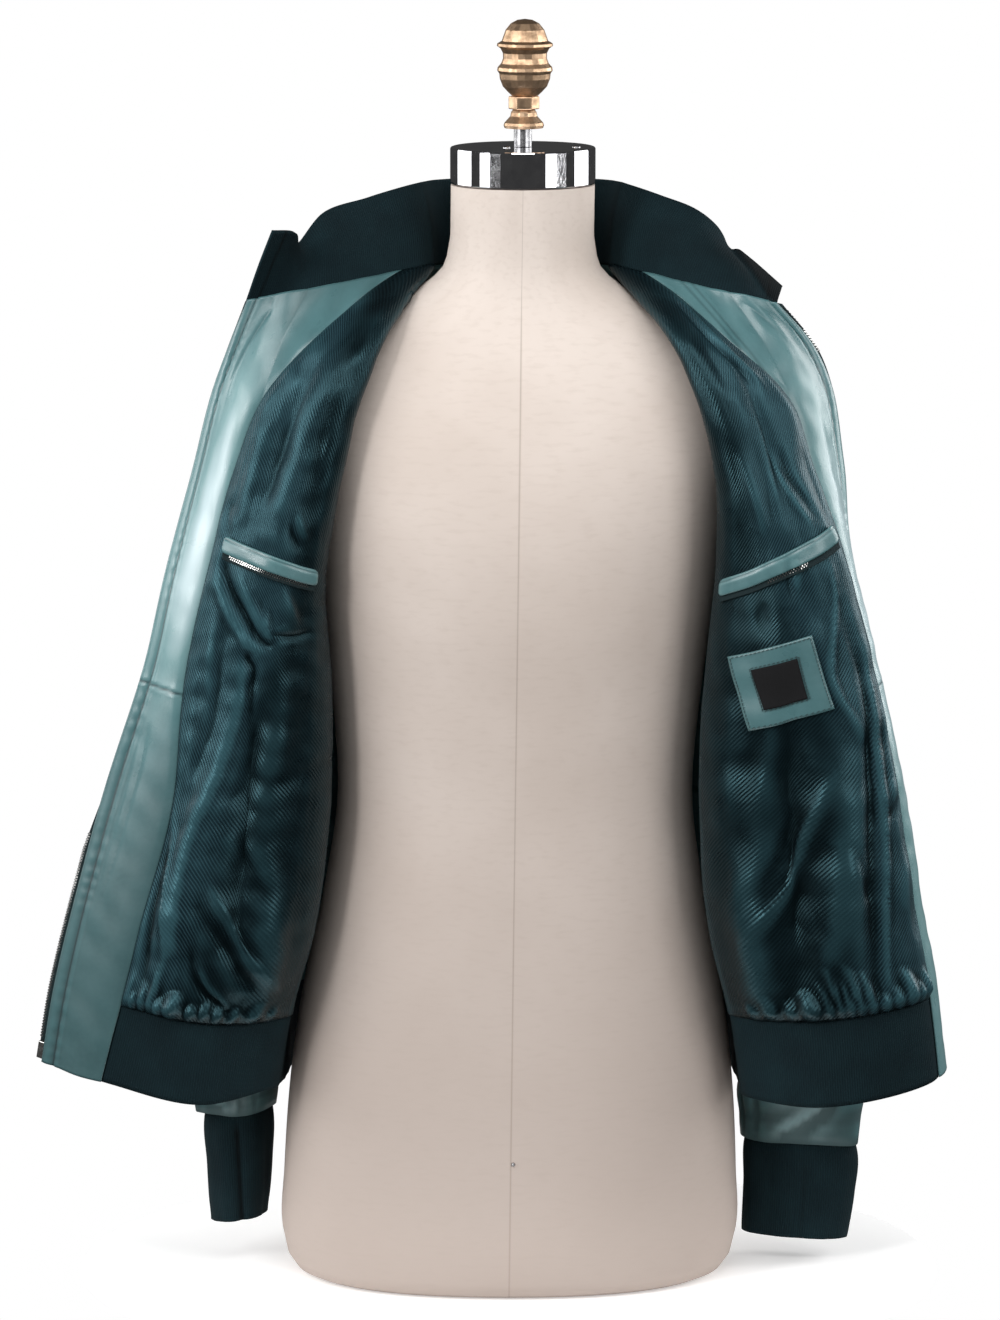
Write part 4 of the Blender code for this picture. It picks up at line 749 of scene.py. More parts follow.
# Pieces carry two values at each point: tone, 1 in deep hollows and -1 on ridges, down to -2 on the facings'
# painted highlight, which the materials turn into painted shade and painted highlights; and seam, 1 along
# seams, which on the linings also carries painted shade.
def leather_material():
    """Semi-matt lambskin, with painted shade in its creases, painted highlights on its ridges and a paler
    painted highlight on the facings.
    """
    paint = Paint("leather", Specular_IOR_Level=0.60, Coat_Weight=0.25, Coat_Roughness=0.30)
    cloth = paint.cloth()
    grain = paint.spread(paint.cells(cloth, 620.0), 0.0, 0.50)
    pores = paint.noise(cloth, 2600.0)
    patches = paint.noise(cloth, 14.0, 3.0)
    clouds = paint.noise(cloth, 42.0, 3.0)
    speckle = paint.noise(cloth, 260.0, 3.0)
    tone = paint.attribute("tone")
    color = paint.mix(paint.spread(patches, 0.3, 0.7), (0.052, 0.130, 0.140), (0.080, 0.182, 0.194))
    color = paint.mix(paint.spread(clouds, 0.35, 0.70, 0.0, 0.40), color, (0.108, 0.222, 0.236))
    color = paint.mix(paint.spread(speckle, 0.35, 0.75, 0.0, 0.30), color, (0.100, 0.212, 0.226))
    # Painted shade where tone is above 0: in hollows and the shaded ends of facings and sleeves; stitches
    # and the patch take their darker colour here too.
    color = paint.mix(paint.spread(tone, 0.0, 1.0, 0.0, 0.80), color, (0.014, 0.040, 0.043))
    # Painted highlights on ridges, where tone is below 0.
    color = paint.mix(paint.spread(tone, 0.0, -1.0, 0.0, 0.55), color, (0.230, 0.400, 0.410))
    # Paler painted highlight on the facings, where tone falls below -1.
    color = paint.mix(paint.spread(tone, -1.0, -2.0), color, (0.600, 0.730, 0.765))
    color = paint.mix(paint.attribute("seam"), color, (0.008, 0.022, 0.026))
    rough = paint.spread(paint.noise(cloth, 55.0, 3.0), 0.3, 0.7, 0.26, 0.36)
    rough = paint.math("ADD", rough, paint.spread(tone, 0.2, 1.0, 0.0, 0.34))
    coat = paint.spread(tone, 0.1, 0.9, 0.25, 0.02)
    normal = paint.bump(pores, 0.00003, 0.4)
    normal = paint.bump(grain, 0.00006, 0.4, normal)
    return paint.use(Base_Color=color, Roughness=rough, Coat_Weight=coat, Normal=normal)


def satin_material():
    """A twill lining, with painted shade near black in its hollows and painted teal highlights on its twill
    ribs and ridges.
    """
    paint = Paint("satin", Specular_IOR_Level=0.42, Specular_Tint=(0.34, 0.74, 0.86, 1.0))
    cloth = paint.cloth()
    along, up = paint.axes(cloth)
    slant = paint.math("ADD", paint.math("MULTIPLY", along, 0.82), paint.math("MULTIPLY", up, 0.57))
    wobble = paint.math("MULTIPLY", paint.noise(cloth, 60.0), 0.0016)
    twill = paint.waves("SINE", paint.math("ADD", slant, wobble), TWILL_PITCH)
    patches = paint.noise(cloth, 26.0, 3.0)
    tone = paint.attribute("tone")
    color = paint.mix(paint.spread(patches, 0.35, 0.70), (0.0048, 0.0120, 0.0160), (0.0105, 0.0260, 0.0335))
    # Painted highlight along the twill's ribs.
    color = paint.mix(paint.spread(twill, -0.1, 0.9, 0.0, 0.65), color, (0.0300, 0.0720, 0.0890))
    # Painted highlights on ridges.
    color = paint.mix(paint.spread(tone, -0.15, -1.0, 0.0, 0.62), color, (0.0330, 0.0900, 0.1080))
    # Painted shade in hollows.
    color = paint.mix(paint.spread(tone, 0.1, 0.9, 0.0, 0.90), color, (0.0006, 0.0014, 0.0019))
    # Dark seam at the facing's edge, and painted shade where the lining turns in towards the form.
    color = paint.mix(paint.attribute("seam"), color, (0.0006, 0.0012, 0.0016))
    normal = paint.bump(paint.noise(cloth, 150.0, 2.5, stretch=(1.0, 0.22, 1.0)), 0.0008, 0.55)
    normal = paint.bump(twill, 0.00010, 0.7, normal)
    rough = paint.spread(paint.noise(cloth, 90.0, 2.0), 0.3, 0.7, 0.25, 0.36)
    return paint.use(Base_Color=color, Roughness=rough, Normal=normal)


def knit_material():
    """Fine wool rib: upright ribs crossed by slanting stitches, with painted shade between the ribs and in
    hollows.
    """
    paint = Paint("knit", roughness=0.9, Specular_IOR_Level=0.15)
    cloth = paint.cloth()
    along, up = paint.axes(cloth)
    rib = paint.waves("COSINE", along, RIB_PITCH)
    slant = paint.math("PINGPONG", along, RIB_PITCH / 2)
    stitch = paint.waves("SINE", paint.math("ADD", up, slant), STITCH_PITCH)
    fuzz = paint.noise(cloth, 900.0, 3.0)
    patches = paint.noise(cloth, 30.0, 2.0)
    tone = paint.attribute("tone")
    color = paint.mix(paint.spread(patches, 0.3, 0.7), (0.0036, 0.0125, 0.0165), (0.0056, 0.0190, 0.0240))
    # Painted shade in the grooves between the ribs.
    color = paint.mix(paint.spread(rib, -1.0, 1.0, 0.45, 0.0), color, (0.0012, 0.0040, 0.0055))
    color = paint.mix(paint.spread(fuzz, 0.5, 0.8, 0.0, 0.4), color, (0.012, 0.034, 0.040))
    # Painted shade in hollows and on the collar's turned-back end.
    color = paint.mix(paint.spread(tone, 0.0, 1.0, 0.0, 0.8), color, (0.0006, 0.0018, 0.0024))
    color = paint.mix(paint.attribute("seam"), color, (0.0004, 0.0012, 0.0016))
    normal = paint.bump(stitch, 0.00010, 0.4)
    normal = paint.bump(rib, 0.00022, 0.6, normal)
    return paint.use(Base_Color=color, Normal=normal)


def canvas_material():
    """Cream cotton canvas with slubs, and painted shade as its tone, darker towards the bottom."""
    paint = Paint("canvas", roughness=0.9, Specular_IOR_Level=0.2)
    cloth = paint.cloth()
    along, up = paint.axes(cloth)
    warp = paint.waves("SINE", along, WEAVE_PITCH)
    weft = paint.waves("SINE", up, WEAVE_PITCH)
    weave = paint.math("MULTIPLY", warp, weft)
    patches = paint.noise(cloth, 7.0, 3.0)
    slubs = paint.noise(cloth, 260.0, 2.0, stretch=(0.25, 1.0, 1.0))
    color = paint.mix(paint.spread(patches, 0.35, 0.65), (0.66, 0.575, 0.515), (0.74, 0.655, 0.595))
    color = paint.mix(paint.spread(slubs, 0.5, 0.8, 0.0, 0.30), color, (0.54, 0.455, 0.395))
    # Painted shade, darker towards the bottom of the form.
    color = paint.mix(paint.attribute("tone"), color, (0.400, 0.335, 0.300))
    color = paint.mix(paint.attribute("seam"), color, (0.28, 0.22, 0.18))
    normal = paint.bump(weave, 0.00012, 0.5)
    return paint.use(Base_Color=color, Normal=normal)


def metal_material(name, color, dark, roughness, scratch_scale=90.0):
    """Metal with faint darker patches."""
    paint = Paint(name, roughness=roughness, metallic=1.0)
    place = paint.model()
    wear = paint.noise(place, scratch_scale, 4.0)
    tint = paint.mix(paint.spread(wear, 0.42, 0.68), color, dark)
    rough = paint.spread(paint.noise(place, 200.0, 3.0), 0.3, 0.7, roughness * 0.8, roughness * 1.3)
    normal = paint.bump(paint.noise(place, 500.0, 2.0), 0.00003, 0.5)
    return paint.use(Base_Color=tint, Roughness=rough, Normal=normal)


def brass_material():
    """Antique brass, mottled, brown in places."""
    paint = Paint("brass", metallic=1.0)
    place = paint.model()
    wear = paint.noise(place, 120.0, 5.0)
    fine = paint.noise(place, 700.0, 3.0, stretch=(1.0, 1.0, 3.0))
    color = paint.mix(paint.spread(wear, 0.40, 0.66), (0.70, 0.480, 0.310), (0.36, 0.235, 0.145))
    color = paint.mix(paint.spread(fine, 0.52, 0.72, 0.0, 0.6), color, (0.74, 0.53, 0.35))
    color = paint.mix(paint.attribute("seam"), color, (0.045, 0.026, 0.016))
    rough = paint.spread(wear, 0.3, 0.7, 0.30, 0.52)
    normal = paint.bump(fine, 0.00006, 0.6)
    return paint.use(Base_Color=color, Roughness=rough, Normal=normal)


def tape_material(name, color, pitch):
    """Narrow herringbone tape, with painted shade where its weave dips."""
    paint = Paint(name, roughness=0.85, Specular_IOR_Level=0.3)
    along, up = paint.axes(paint.cloth())
    herring = paint.math("PINGPONG", along, pitch * 2)
    weave = paint.waves("SINE", paint.math("ADD", up, herring), pitch)
    dark = tuple(channel * 0.35 for channel in color)
    # Painted shade in the weave's troughs.
    tint = paint.mix(paint.spread(weave, -1.0, 1.0), dark, color)
    return paint.use(Base_Color=tint, Normal=paint.bump(weave, 0.00012, 0.6))


LOOKS = {
    "leather": leather_material(),
    "satin": satin_material(),
    "knit": knit_material(),
    "canvas": canvas_material(),
    "chrome": metal_material("chrome", (0.72, 0.72, 0.74), (0.60, 0.60, 0.63), 0.06),
    "steel": metal_material("steel", (0.50, 0.50, 0.51), (0.30, 0.30, 0.31), 0.26, 300.0),
    "brass": brass_material(),
    "zip_metal": metal_material("zip_metal", (0.72, 0.72, 0.70), (0.45, 0.45, 0.44), 0.24, 900.0),
    "zip_tape": tape_material("zip_tape", (0.012, 0.030, 0.034), 0.0009),
    "label": tape_material("label", (0.0085, 0.0085, 0.0100), 0.0006),
}


# ---------------------------------------------------------------- meshes
def carry(mesh, tone=0.0, seam=0.0):
    """Give every point of a mesh its tone and seam."""
    for key, value in (("tone", tone), ("seam", seam)):
        values = np.zeros(len(mesh.vertices), np.float32) + np.asarray(value, np.float32)
        mesh.attributes.new(key, "FLOAT", "POINT").data.foreach_set("value", values)


def sheet_mesh(name, points, uv, wrap=False, flip=False, keep=None, tone=0.0, seam=0.0):
    """Quads through a grid of points, or a tube where it wraps. The grid uv then has one more column."""
    rows, columns = points.shape[:2]
    across = np.arange(columns if wrap else columns - 1)
    row, column = (part.ravel() for part in np.meshgrid(np.arange(rows - 1), across, indexing="ij"))
    if keep is not None:
        kept = keep[row, column]
        row, column = row[kept], column[kept]
    after = (column + 1) % columns
    faces = np.stack([row * columns + column, row * columns + after,
                      (row + 1) * columns + after, (row + 1) * columns + column], axis=1)
    corners = np.stack([uv[row, column], uv[row, column + 1],
                        uv[row + 1, column + 1], uv[row + 1, column]], axis=1)
    if flip:
        faces, corners = faces[:, ::-1], corners[:, ::-1]
    used, faces = np.unique(faces, return_inverse=True)
    mesh = bpy.data.meshes.new(name)
    mesh.from_pydata(points.reshape(-1, 3)[used].tolist(), [], faces.reshape(-1, 4).tolist())
    mesh.uv_layers.new(name="cloth").uv.foreach_set("vector", corners.astype(np.float32).ravel())
    carry(mesh, *(np.broadcast_to(value, (rows, columns)).ravel()[used] for value in (tone, seam)))
    mesh.shade_smooth()
    return mesh


def add_piece(name, mesh, slot, stands_for=()):
    """Place a mesh, riding on the jacket's own body, with its slot's material."""
    obj = bpy.data.objects.new(name, mesh)
    bpy.context.scene.collection.objects.link(obj)
    if not mesh.materials:
        mesh.materials.append(LOOKS[slot])
    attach(obj, "jacket_on_form")
    if stands_for:
        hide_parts(*stands_for)
    return obj


def faces_out(points, outward):
    """Whether quads in the grid's own order face the way that outward points."""
    along = points[1:, 1] - points[1:, 0]
    up = points[1:, 0] - points[:-1, 0]
    return np.sum(np.cross(along, up) * outward[1:, 0]) > 0


def shell(name, points, outward, thickness, slot, uv, stands_for, wrap=False, grows_out=False, keep=None,
          tone=0.0, seam=0.0):
    """A cloth wall, its points being its outer face, or its inner one if it grows out."""
    mesh = sheet_mesh(name, points, uv, wrap, not faces_out(points, outward), keep, tone, seam)
    wall = add_piece(name, mesh, slot, stands_for).modifiers.new("wall", "SOLIDIFY")
    wall.thickness = thickness
    wall.offset = 1 if grows_out else -1
    wall.use_even_offset = False


def add_blocks(name, frames, size, slot, tone=0.0):
    """Small blocks, one for each frame (middle, across, along)."""
    corners = np.array([(x, y, z) for x in (-0.5, 0.5) for y in (-0.5, 0.5) for z in (-0.5, 0.5)]) * size
    sides = np.array([(0, 1, 3, 2), (4, 6, 7, 5), (0, 4, 5, 1), (2, 3, 7, 6), (0, 2, 6, 4), (1, 5, 7, 3)])
    points, faces = [], []
    for middle, across, along in frames:
        faces.extend((sides + len(points) * 8).tolist())
        points.append(middle + corners @ np.array([across, along, np.cross(across, along)]))
    mesh = bpy.data.meshes.new(name)
    mesh.from_pydata(np.concatenate(points).tolist(), [], faces)
    bm = bmesh.new()
    bm.from_mesh(mesh)
    bmesh.ops.recalc_face_normals(bm, faces=bm.faces)
    bm.to_mesh(mesh)
    bm.free()
    carry(mesh, tone)
    mesh.uv_layers.new(name="cloth")
    add_piece(name, mesh, slot)


def add_dome(name, place, radius, height, slot):
    """A low ball, for a pin's or rivet's head."""
    bm = bmesh.new()
    bmesh.ops.create_uvsphere(bm, u_segments=24, v_segments=12, radius=radius)
    bmesh.ops.scale(bm, vec=(1, 1, height / radius), verts=bm.verts)
    bmesh.ops.translate(bm, vec=place, verts=bm.verts)
    mesh = bpy.data.meshes.new(name)
    bm.to_mesh(mesh)
    bm.free()
    carry(mesh)
    mesh.shade_smooth()
    add_piece(name, mesh, slot)


def grid_uv(s, t):
    """A grid's own places in metres, as its 'cloth' coordinates."""
    return np.stack(np.broadcast_arrays(s, t), axis=-1)


# ---------------------------------------------------------------- fronts, facings and linings
CELL = 0.0020            # size of a grid cell on the linings and the fronts' open side
HIDDEN_CELL = 0.0055     # on cloth that the form covers
COARSE_CELL = 0.0040     # on the leather's outer side
EDGE_PLACES = mm((0, 1.2, 2.8, 4.6, 6.6, 8, 8.8, 9.4, 10, 10.6, 11.4, 12.6, 14.4))
FACING_COLUMNS = 60      # grid columns on the rest of a facing
LINING_COLUMNS = 66      # grid columns on the shown part of a lining

LINING_CREASING = 0.85   # share of the creases' listed heights
LINING_STAND = 0.0046    # where nothing creases it, the lining hangs this far off the leather
FACING_CREASING = 0.45   # the facing's smooth leather creases softly
FACING_STAND = 0.0030
FACING_SMOOTH = 0.062    # the facing's arch spans at most this much cloth
EDGE_ROLL = 0.012        # the front edge, where facing and leather lie close

PLACKET_SEAM = 0.0100    # stitched line this far inside the front edge
GROOVE_WIDTH = 0.0009
GROOVE_DEPTH = 0.0012
# Rounded welts on both sides of that line: (middle, half width, height)
PLACKET_WELTS = mm(((4.5, 3.6, 1.2), (13.5, 2.2, 0.5)))
STITCH_PUCKER = 0.00016
STITCH_PUCKER_PITCH = 0.0125
# Seams across a facing: (s, t) of both ends in millimetres, half width in metres, and how strongly it shows
FACING_SEAMS = {
    RIGHT: (((-1, 329), (60, 318), 0.0011, 1.0),),
    LEFT: (((-1, 330), (60, 320), 0.0011, 1.0), ((120, 642), (84, 566), 0.0024, 0.45),
           ((108, 642), (74, 560), 0.0024, 0.45)),
}
# Painted highlight on the smooth leather, lightest in its middle: (t, s of its middle in mm, half width in
# mm, share)
FACING_PAINTED_HIGHLIGHT = {
    RIGHT: (
        (0.08, 22, 20, 0.0), (0.16, 24, 20, 0.04), (0.25, 26, 20, 0.12), (0.32, 26, 21, 0.34),
        (0.36, 26, 22, 0.62), (0.41, 27, 22, 0.84), (0.46, 30, 21, 0.90), (0.52, 34, 20, 0.74),
        (0.58, 36, 18, 0.36), (0.61, 38, 16, 0.14), (0.64, 38, 14, 0.0),
    ),
    LEFT: (
        (0.0, 24, 30, 0.35), (0.10, 22, 34, 0.52), (0.20, 20, 38, 0.72), (0.32, 20, 38, 0.90),
        (0.40, 22, 34, 0.95), (0.46, 24, 30, 0.86), (0.52, 28, 26, 0.62), (0.565, 34, 22, 0.30),
        (0.60, 40, 18, 0.05), (0.64, 40, 14, 0.0),
    ),
}
# Elsewhere a facing is a little darker at its ends: (t, added tone)
FACING_SHADE = {
    RIGHT: ((0.0, 0.60), (0.20, 0.54), (0.30, 0.34), (0.36, 0.06), (0.52, 0.0), (0.58, 0.18), (0.64, 0.28)),
    LEFT: ((0.0, 0.0), (0.50, 0.0), (0.58, 0.08), (0.64, 0.12)),
}
# Where the lining turns in behind the light: (t, s) from which it falls into shade
LINING_DEPTH = {
    RIGHT: (
        (0.06, 0.085), (0.15, 0.090), (0.25, 0.092), (0.34, 0.098), (0.40, 0.118), (0.46, 0.120),
        (0.60, 0.118),
    ),
    LEFT: (
        (0.06, 0.100), (0.12, 0.086), (0.20, 0.080), (0.30, 0.078), (0.38, 0.096), (0.46, 0.124),
        (0.60, 0.130),
    ),
}
LINING_SHADE = 0.86
LINING_SHADE_EDGE = 0.030


def lining_relief(side, s, t, facing):
    """How far the lining stands off the leather towards the wearer: never less than nothing."""
    to_roll = ramp(COLUMN_PLACES[ROLL] + 0.012 - s, 0.035)
    room = np.sqrt(ramp(s - facing, 0.012) * ramp(PANEL_TOP - t, 0.02)) * to_roll
    waves = ripple(s, t, 31 + side, 0.0004, 0.018, 0.05) + ripple(s, t, 37 + side, 0.0007, 0.05, 0.12)
    folds = LINING_CREASING * crease_relief(LINING_CREASES[side], s, t)
    stand = ramp(t - BAND_HEIGHT, 0.008) * (LINING_STAND + waves + folds) + gather_relief(side, s, t)
    return np.maximum(room * stand, 0)


def facing_relief(side, s, t, facing):
    """How far the smooth part of a facing arches off the leather under it."""
    room = np.sqrt(ramp(s - EDGE_ROLL, 0.006) * ramp(facing - s, 0.006))
    waves = ripple(s, t, 51 + side, 0.0003, 0.02, 0.05)
    creases = FACING_CREASING * crease_relief(FACING_CREASES[side], s, t)
    share = ramp(s - PLACKET_SEAM, np.minimum(facing, FACING_SMOOTH) - PLACKET_SEAM)
    arch = FACING_STAND * np.sin(math.pi * share**1.25)
    return np.maximum(room * (0.0006 + waves + creases) + arch, 0)


def build_front(side):
    """The leather front's outer side. Behind the rib band it is left out past the facing's edge."""
    node = "front_" + LABEL[side]
    t_row = steps(0, PANEL_TOP, COARSE_CELL)
    last_band_row = np.flatnonzero(t_row <= BAND_HEIGHT + COARSE_CELL / 2)[-1]
    t_row[last_band_row] = BAND_HEIGHT
    s, t = (part.copy() for part in grid_of(steps(0, COLUMN_PLACES[-1], COARSE_CELL), t_row))
    facing = facing_width(side, t_row)
    column = np.searchsorted(s[0], facing[0])
    s[:, column] = np.where(t_row <= BAND_HEIGHT, facing, s[:, column])
    inside = ramp(s - EDGE_ROLL, 0.02) * ramp(COLUMN_PLACES[-1] - s, 0.012)
    folds = (np.maximum(crease_relief(FRONT_CREASES, s, t), 0) + band_puckers(s, t)) * inside
    points, normals = front_panel(side, s, t)
    points = points + normals * folds[..., None]
    keep = np.ones((s.shape[0] - 1, s.shape[1] - 1), bool)
    keep[:last_band_row, column:] = False
    # Its tone paints shade in hollows and highlights on ridges.
    shell("leather_" + node, points, normals, LEATHER, "leather", grid_uv(s, t), [node], grows_out=True,
          keep=keep, tone=hollowness(points, normals, 2))


def facing_grid(side):
    """(s, t) on a facing, with close columns along the placket's line."""
    t_row = steps(0, PANEL_TOP, CELL)
    width = facing_width(side, t_row)[:, None]
    near = np.broadcast_to(EDGE_PLACES, (len(t_row), len(EDGE_PLACES)))
    share = np.linspace(0, 1, FACING_COLUMNS)[1:]
    s = np.concatenate([near, EDGE_PLACES[-1] + (width - EDGE_PLACES[-1]) * share], axis=1)
    return s, np.broadcast_to(t_row[:, None], s.shape)


def seam_distance(start, end, s, t):
    """Signed distance from the straight seam between two places in mm, and whether a place is beside it."""
    start, end = np.array(start) * MM, np.array(end) * MM
    length = np.linalg.norm(end - start)
    way = (end - start) / length
    ds, dt = s - start[0], t - start[1]
    along = ds * way[0] + dt * way[1]
    return ds * way[1] - dt * way[0], (along > 0) & (along < length)


def facing_painted_light(side, s, t, tone):
    """The tone of a facing, with a painted highlight where its smooth leather would gleam and painted shade
    at its ends.
    """
    rows = np.array(FACING_PAINTED_HIGHLIGHT[side])
    centre, width, share = (np.interp(t, rows[:, 0], rows[:, column]) for column in (1, 2, 3))
    painted_highlight = bell(s - centre * MM, width * MM) * share
    # Faint streaks within the painted highlight.
    streaks = 1 + 0.08 * np.sin(s * 300 + 1.5 * np.sin(t * 23)) * np.sin(t * 41 + s * 60)
    tone = 0.6 * tone + read_table(FACING_SHADE[side], t)
    return np.clip(tone * (1 - np.clip(painted_highlight, 0, 1)) - 2 * painted_highlight * streaks, -2, 1)


def build_facing(side):
    """The facing on the inside of a front edge, with its placket line and the seams across it."""
    s, t = facing_grid(side)
    groove = bell(s - PLACKET_SEAM, GROOVE_WIDTH)
    welts = sum(height * bell(s - middle, width) for middle, width, height in PLACKET_WELTS)
    beat = t * 2 * math.pi / STITCH_PUCKER_PITCH + 3.1 * np.sin(t * 31) + 2.0 * np.sin(t * 83)
    puckers = STITCH_PUCKER * np.sin(beat) * (1 + np.sin(t * 47)) * bell(s - PLACKET_SEAM, 0.005)
    relief = welts + puckers - groove * GROOVE_DEPTH + facing_relief(side, s, t, s[:, -1:])
    seam = groove * 0.85
    for start, end, width, share in FACING_SEAMS[side]:
        distance, beside = seam_distance(start, end, s, t)
        dip = bell(distance, width) * beside * share
        relief = relief + 0.0005 * bell(distance, 0.0040) * beside - GROOVE_DEPTH * dip
        seam = np.maximum(seam, dip * 0.75)
    points, normals = front_panel(side, s, t)
    points = points - normals * (LAYER_GAP + np.maximum(relief, 0.0))[..., None]
    # Painted shade in hollows and at the ends, and a painted highlight on the smooth leather.
    tone = facing_painted_light(side, s, t, hollowness(points, -normals, 3, 0.0012))
    shell("facing_inner_" + LABEL[side], points, normals, LEATHER, "leather", grid_uv(s, t),
          ["facing_" + LABEL[side]], tone=tone, seam=seam)


def build_lining(side):
    """The satin inside a front, creased where it shows and plain behind the form."""
    t_row = steps(BAND_HEIGHT, PANEL_TOP, CELL)
    facing = facing_width(side, t_row)[:, None]
    shown_end = COLUMN_PLACES[ROLL] + 0.004
    shown = facing + (shown_end - facing) * np.linspace(0, 1, LINING_COLUMNS)
    hidden = steps(shown_end, COLUMN_PLACES[-1], HIDDEN_CELL)[1:]
    s = np.concatenate([shown, np.broadcast_to(hidden, (len(t_row), len(hidden)))], axis=1)
    t = np.broadcast_to(t_row[:, None], s.shape)
    points, normals = front_panel(side, s, t)
    points = points - normals * (LAYER_GAP + lining_relief(side, s, t, facing))[..., None]
    # Its tone paints shade in the hollows and highlights on the ridges of its creases.
    tone = hollowness(points, -normals, 3, 0.0011)
    # Painted shade where the lining turns in towards the form, carried in the seam value that darkens the
    # satin.
    depth = eased(ramp(s - read_table(LINING_DEPTH[side], t), LINING_SHADE_EDGE))
    shade = LINING_SHADE * depth * (1 - 0.30 * np.clip(-tone, 0, 1))
    shell("lining_panel_" + LABEL[side], points, normals, LINING, "satin", grid_uv(s, t),
          ["lining_" + LABEL[side]], tone=tone, seam=np.maximum(0.7 * bell(s - facing, 0.0012), shade))


# ---------------------------------------------------------------- back, band and collar
def build_back():
    """The back, creased and gathered above the band."""
    edge = BACK_PLACES[-1]
    q, t = grid_of(steps(-edge, edge, COARSE_CELL), steps(BAND_HEIGHT, PANEL_TOP, COARSE_CELL))
    inside = ramp(edge - np.abs(q), 0.012) * ramp(PANEL_TOP - t, 0.03)
    folds = (crease_relief(BACK_CREASES, q, t) + band_puckers(q, t)) * inside
    points, normals = back_panel(q, t, ripple(q, t, 5, 0.0005, 0.05, 0.16) + folds)
    # Its tone paints shade in hollows and highlights on ridges.
    shell("leather_back", points, normals, LEATHER, "leather", grid_uv(q, t), ["back"], grows_out=True,
          tone=hollowness(points, normals, 2))


RIB_CELL = 0.0015        # size of a grid cell along the hem band
RIB_ROW = 0.004
RIB_FRONT_COLUMNS = 147  # grid columns of the band on each front
SEAM_BLEND = 6           # columns over which the band runs smoothly past a side seam


def build_hem_band():
    """The rib band, from one facing round the back to the other."""
    t_row = steps(0, BAND_HEIGHT, RIB_ROW)
    runs = []
    for side in SIDES:
        facing = facing_width(side, t_row)[:, None]
        s = facing + (COLUMN_PLACES[-1] - facing) * np.linspace(0, 1, RIB_FRONT_COLUMNS)
        points, _ = front_panel(side, s, np.broadcast_to(t_row[:, None], s.shape))
        runs.append(points if side == RIGHT else points[:, ::-1])
    q, t = grid_of(steps(-BACK_PLACES[-1], BACK_PLACES[-1], RIB_CELL)[1:-1], t_row)
    runs.insert(1, back_panel(q, t)[0])
    points = np.concatenate(runs, axis=1)
    seams = np.array([runs[0].shape[1], runs[0].shape[1] + runs[1].shape[1]])
    to_seam = np.abs(np.arange(points.shape[1])[:, None] - seams).min(axis=1)
    near = bell(to_seam, SEAM_BLEND)[None, :, None]
    points = points * (1 - near) + blurred(points, 4, 1) * near
    normals = -normals_of(points)
    uv = grid_uv(path_lengths(points[len(t_row) // 2]), t_row[:, None])
    shell("rib_hem_band", points + normals * (LEATHER + KNIT) / 2, normals, KNIT, "knit", uv, ["hem_band"])


# Where a station's seam is at this share of one front's neckline or of half the back neck, its
# middle and top stand off from the seam by (sideways, y, z), sideways being away from the middle.
CollarRow = namedtuple("CollarRow", "share middle top")
COLLAR_BACK = CollarRow(0, (0.000, 0.006, 0.036), (0.000, 0.001, 0.068))
COLLAR_NECK = CollarRow(1, (0.003, 0.014, 0.032), (0.010, 0.030, 0.062))
COLLAR = {                # share 0 is the front end, 1 the neck point
    RIGHT: (
        CollarRow(0.00, (-0.010, -0.016, 0.028), (-0.021, -0.030, 0.056)),
        CollarRow(0.14, (-0.008, -0.008, 0.028), (-0.015, -0.018, 0.050)),
        CollarRow(0.27, (-0.002, 0.010, 0.024), (0.004, 0.006, 0.036)),
        CollarRow(0.45, (0.004, 0.012, 0.030), (0.014, 0.022, 0.052)),
        CollarRow(0.70, (0.004, 0.013, 0.032), (0.013, 0.028, 0.058)),
        COLLAR_NECK,
    ),
    LEFT: (
        CollarRow(0.00, (0.003, 0.030, 0.004), (0.004, 0.064, 0.002)),
        CollarRow(0.16, (0.003, 0.022, 0.016), (0.008, 0.062, 0.015)),
        CollarRow(0.32, (0.009, 0.015, 0.023), (0.014, 0.053, 0.026)),
        CollarRow(0.48, (0.013, 0.010, 0.028), (0.022, 0.036, 0.042)),
        CollarRow(0.62, (0.010, 0.009, 0.032), (0.023, 0.024, 0.052)),
        CollarRow(0.78, (0.006, 0.012, 0.033), (0.017, 0.028, 0.057)),
        COLLAR_NECK,
    ),
}
COLLAR_HEIGHT = 0.068
COLLAR_FRONT_STEPS = 110
COLLAR_NECK_STEPS = 70
COLLAR_ROWS = 26
COLLAR_FOOT = 0.0022      # where it runs straight on from the panel, it starts this far below its seam
COLLAR_END_SEAM = 0.0095  # the folded end is sewn this far in
COLLAR_END_LEAN = 0.06
COLLAR_GROOVE = 0.0011
# The left end turns back behind the rest: its line's distance from the end at the seam, how much that grows
# for each metre up the collar, and the width of its edge; then the lip beside it and how far it lies behind
COLLAR_LOBE_FOOT = 0.006
COLLAR_LOBE_LEAN = 0.66
COLLAR_LOBE_EDGE = 0.004
COLLAR_LIP = 0.0012
COLLAR_SINK = 0.0040


def seam_stations(line, below, count):
    """Evenly spaced points along a seam, and the way the cloth under it runs up into each."""
    lengths = path_lengths(line)
    knots = lengths / lengths[-1]
    shares = np.linspace(0, 1, count + 1)
    return smooth(knots, line, shares), unit(smooth(knots, line - below, shares)), shares


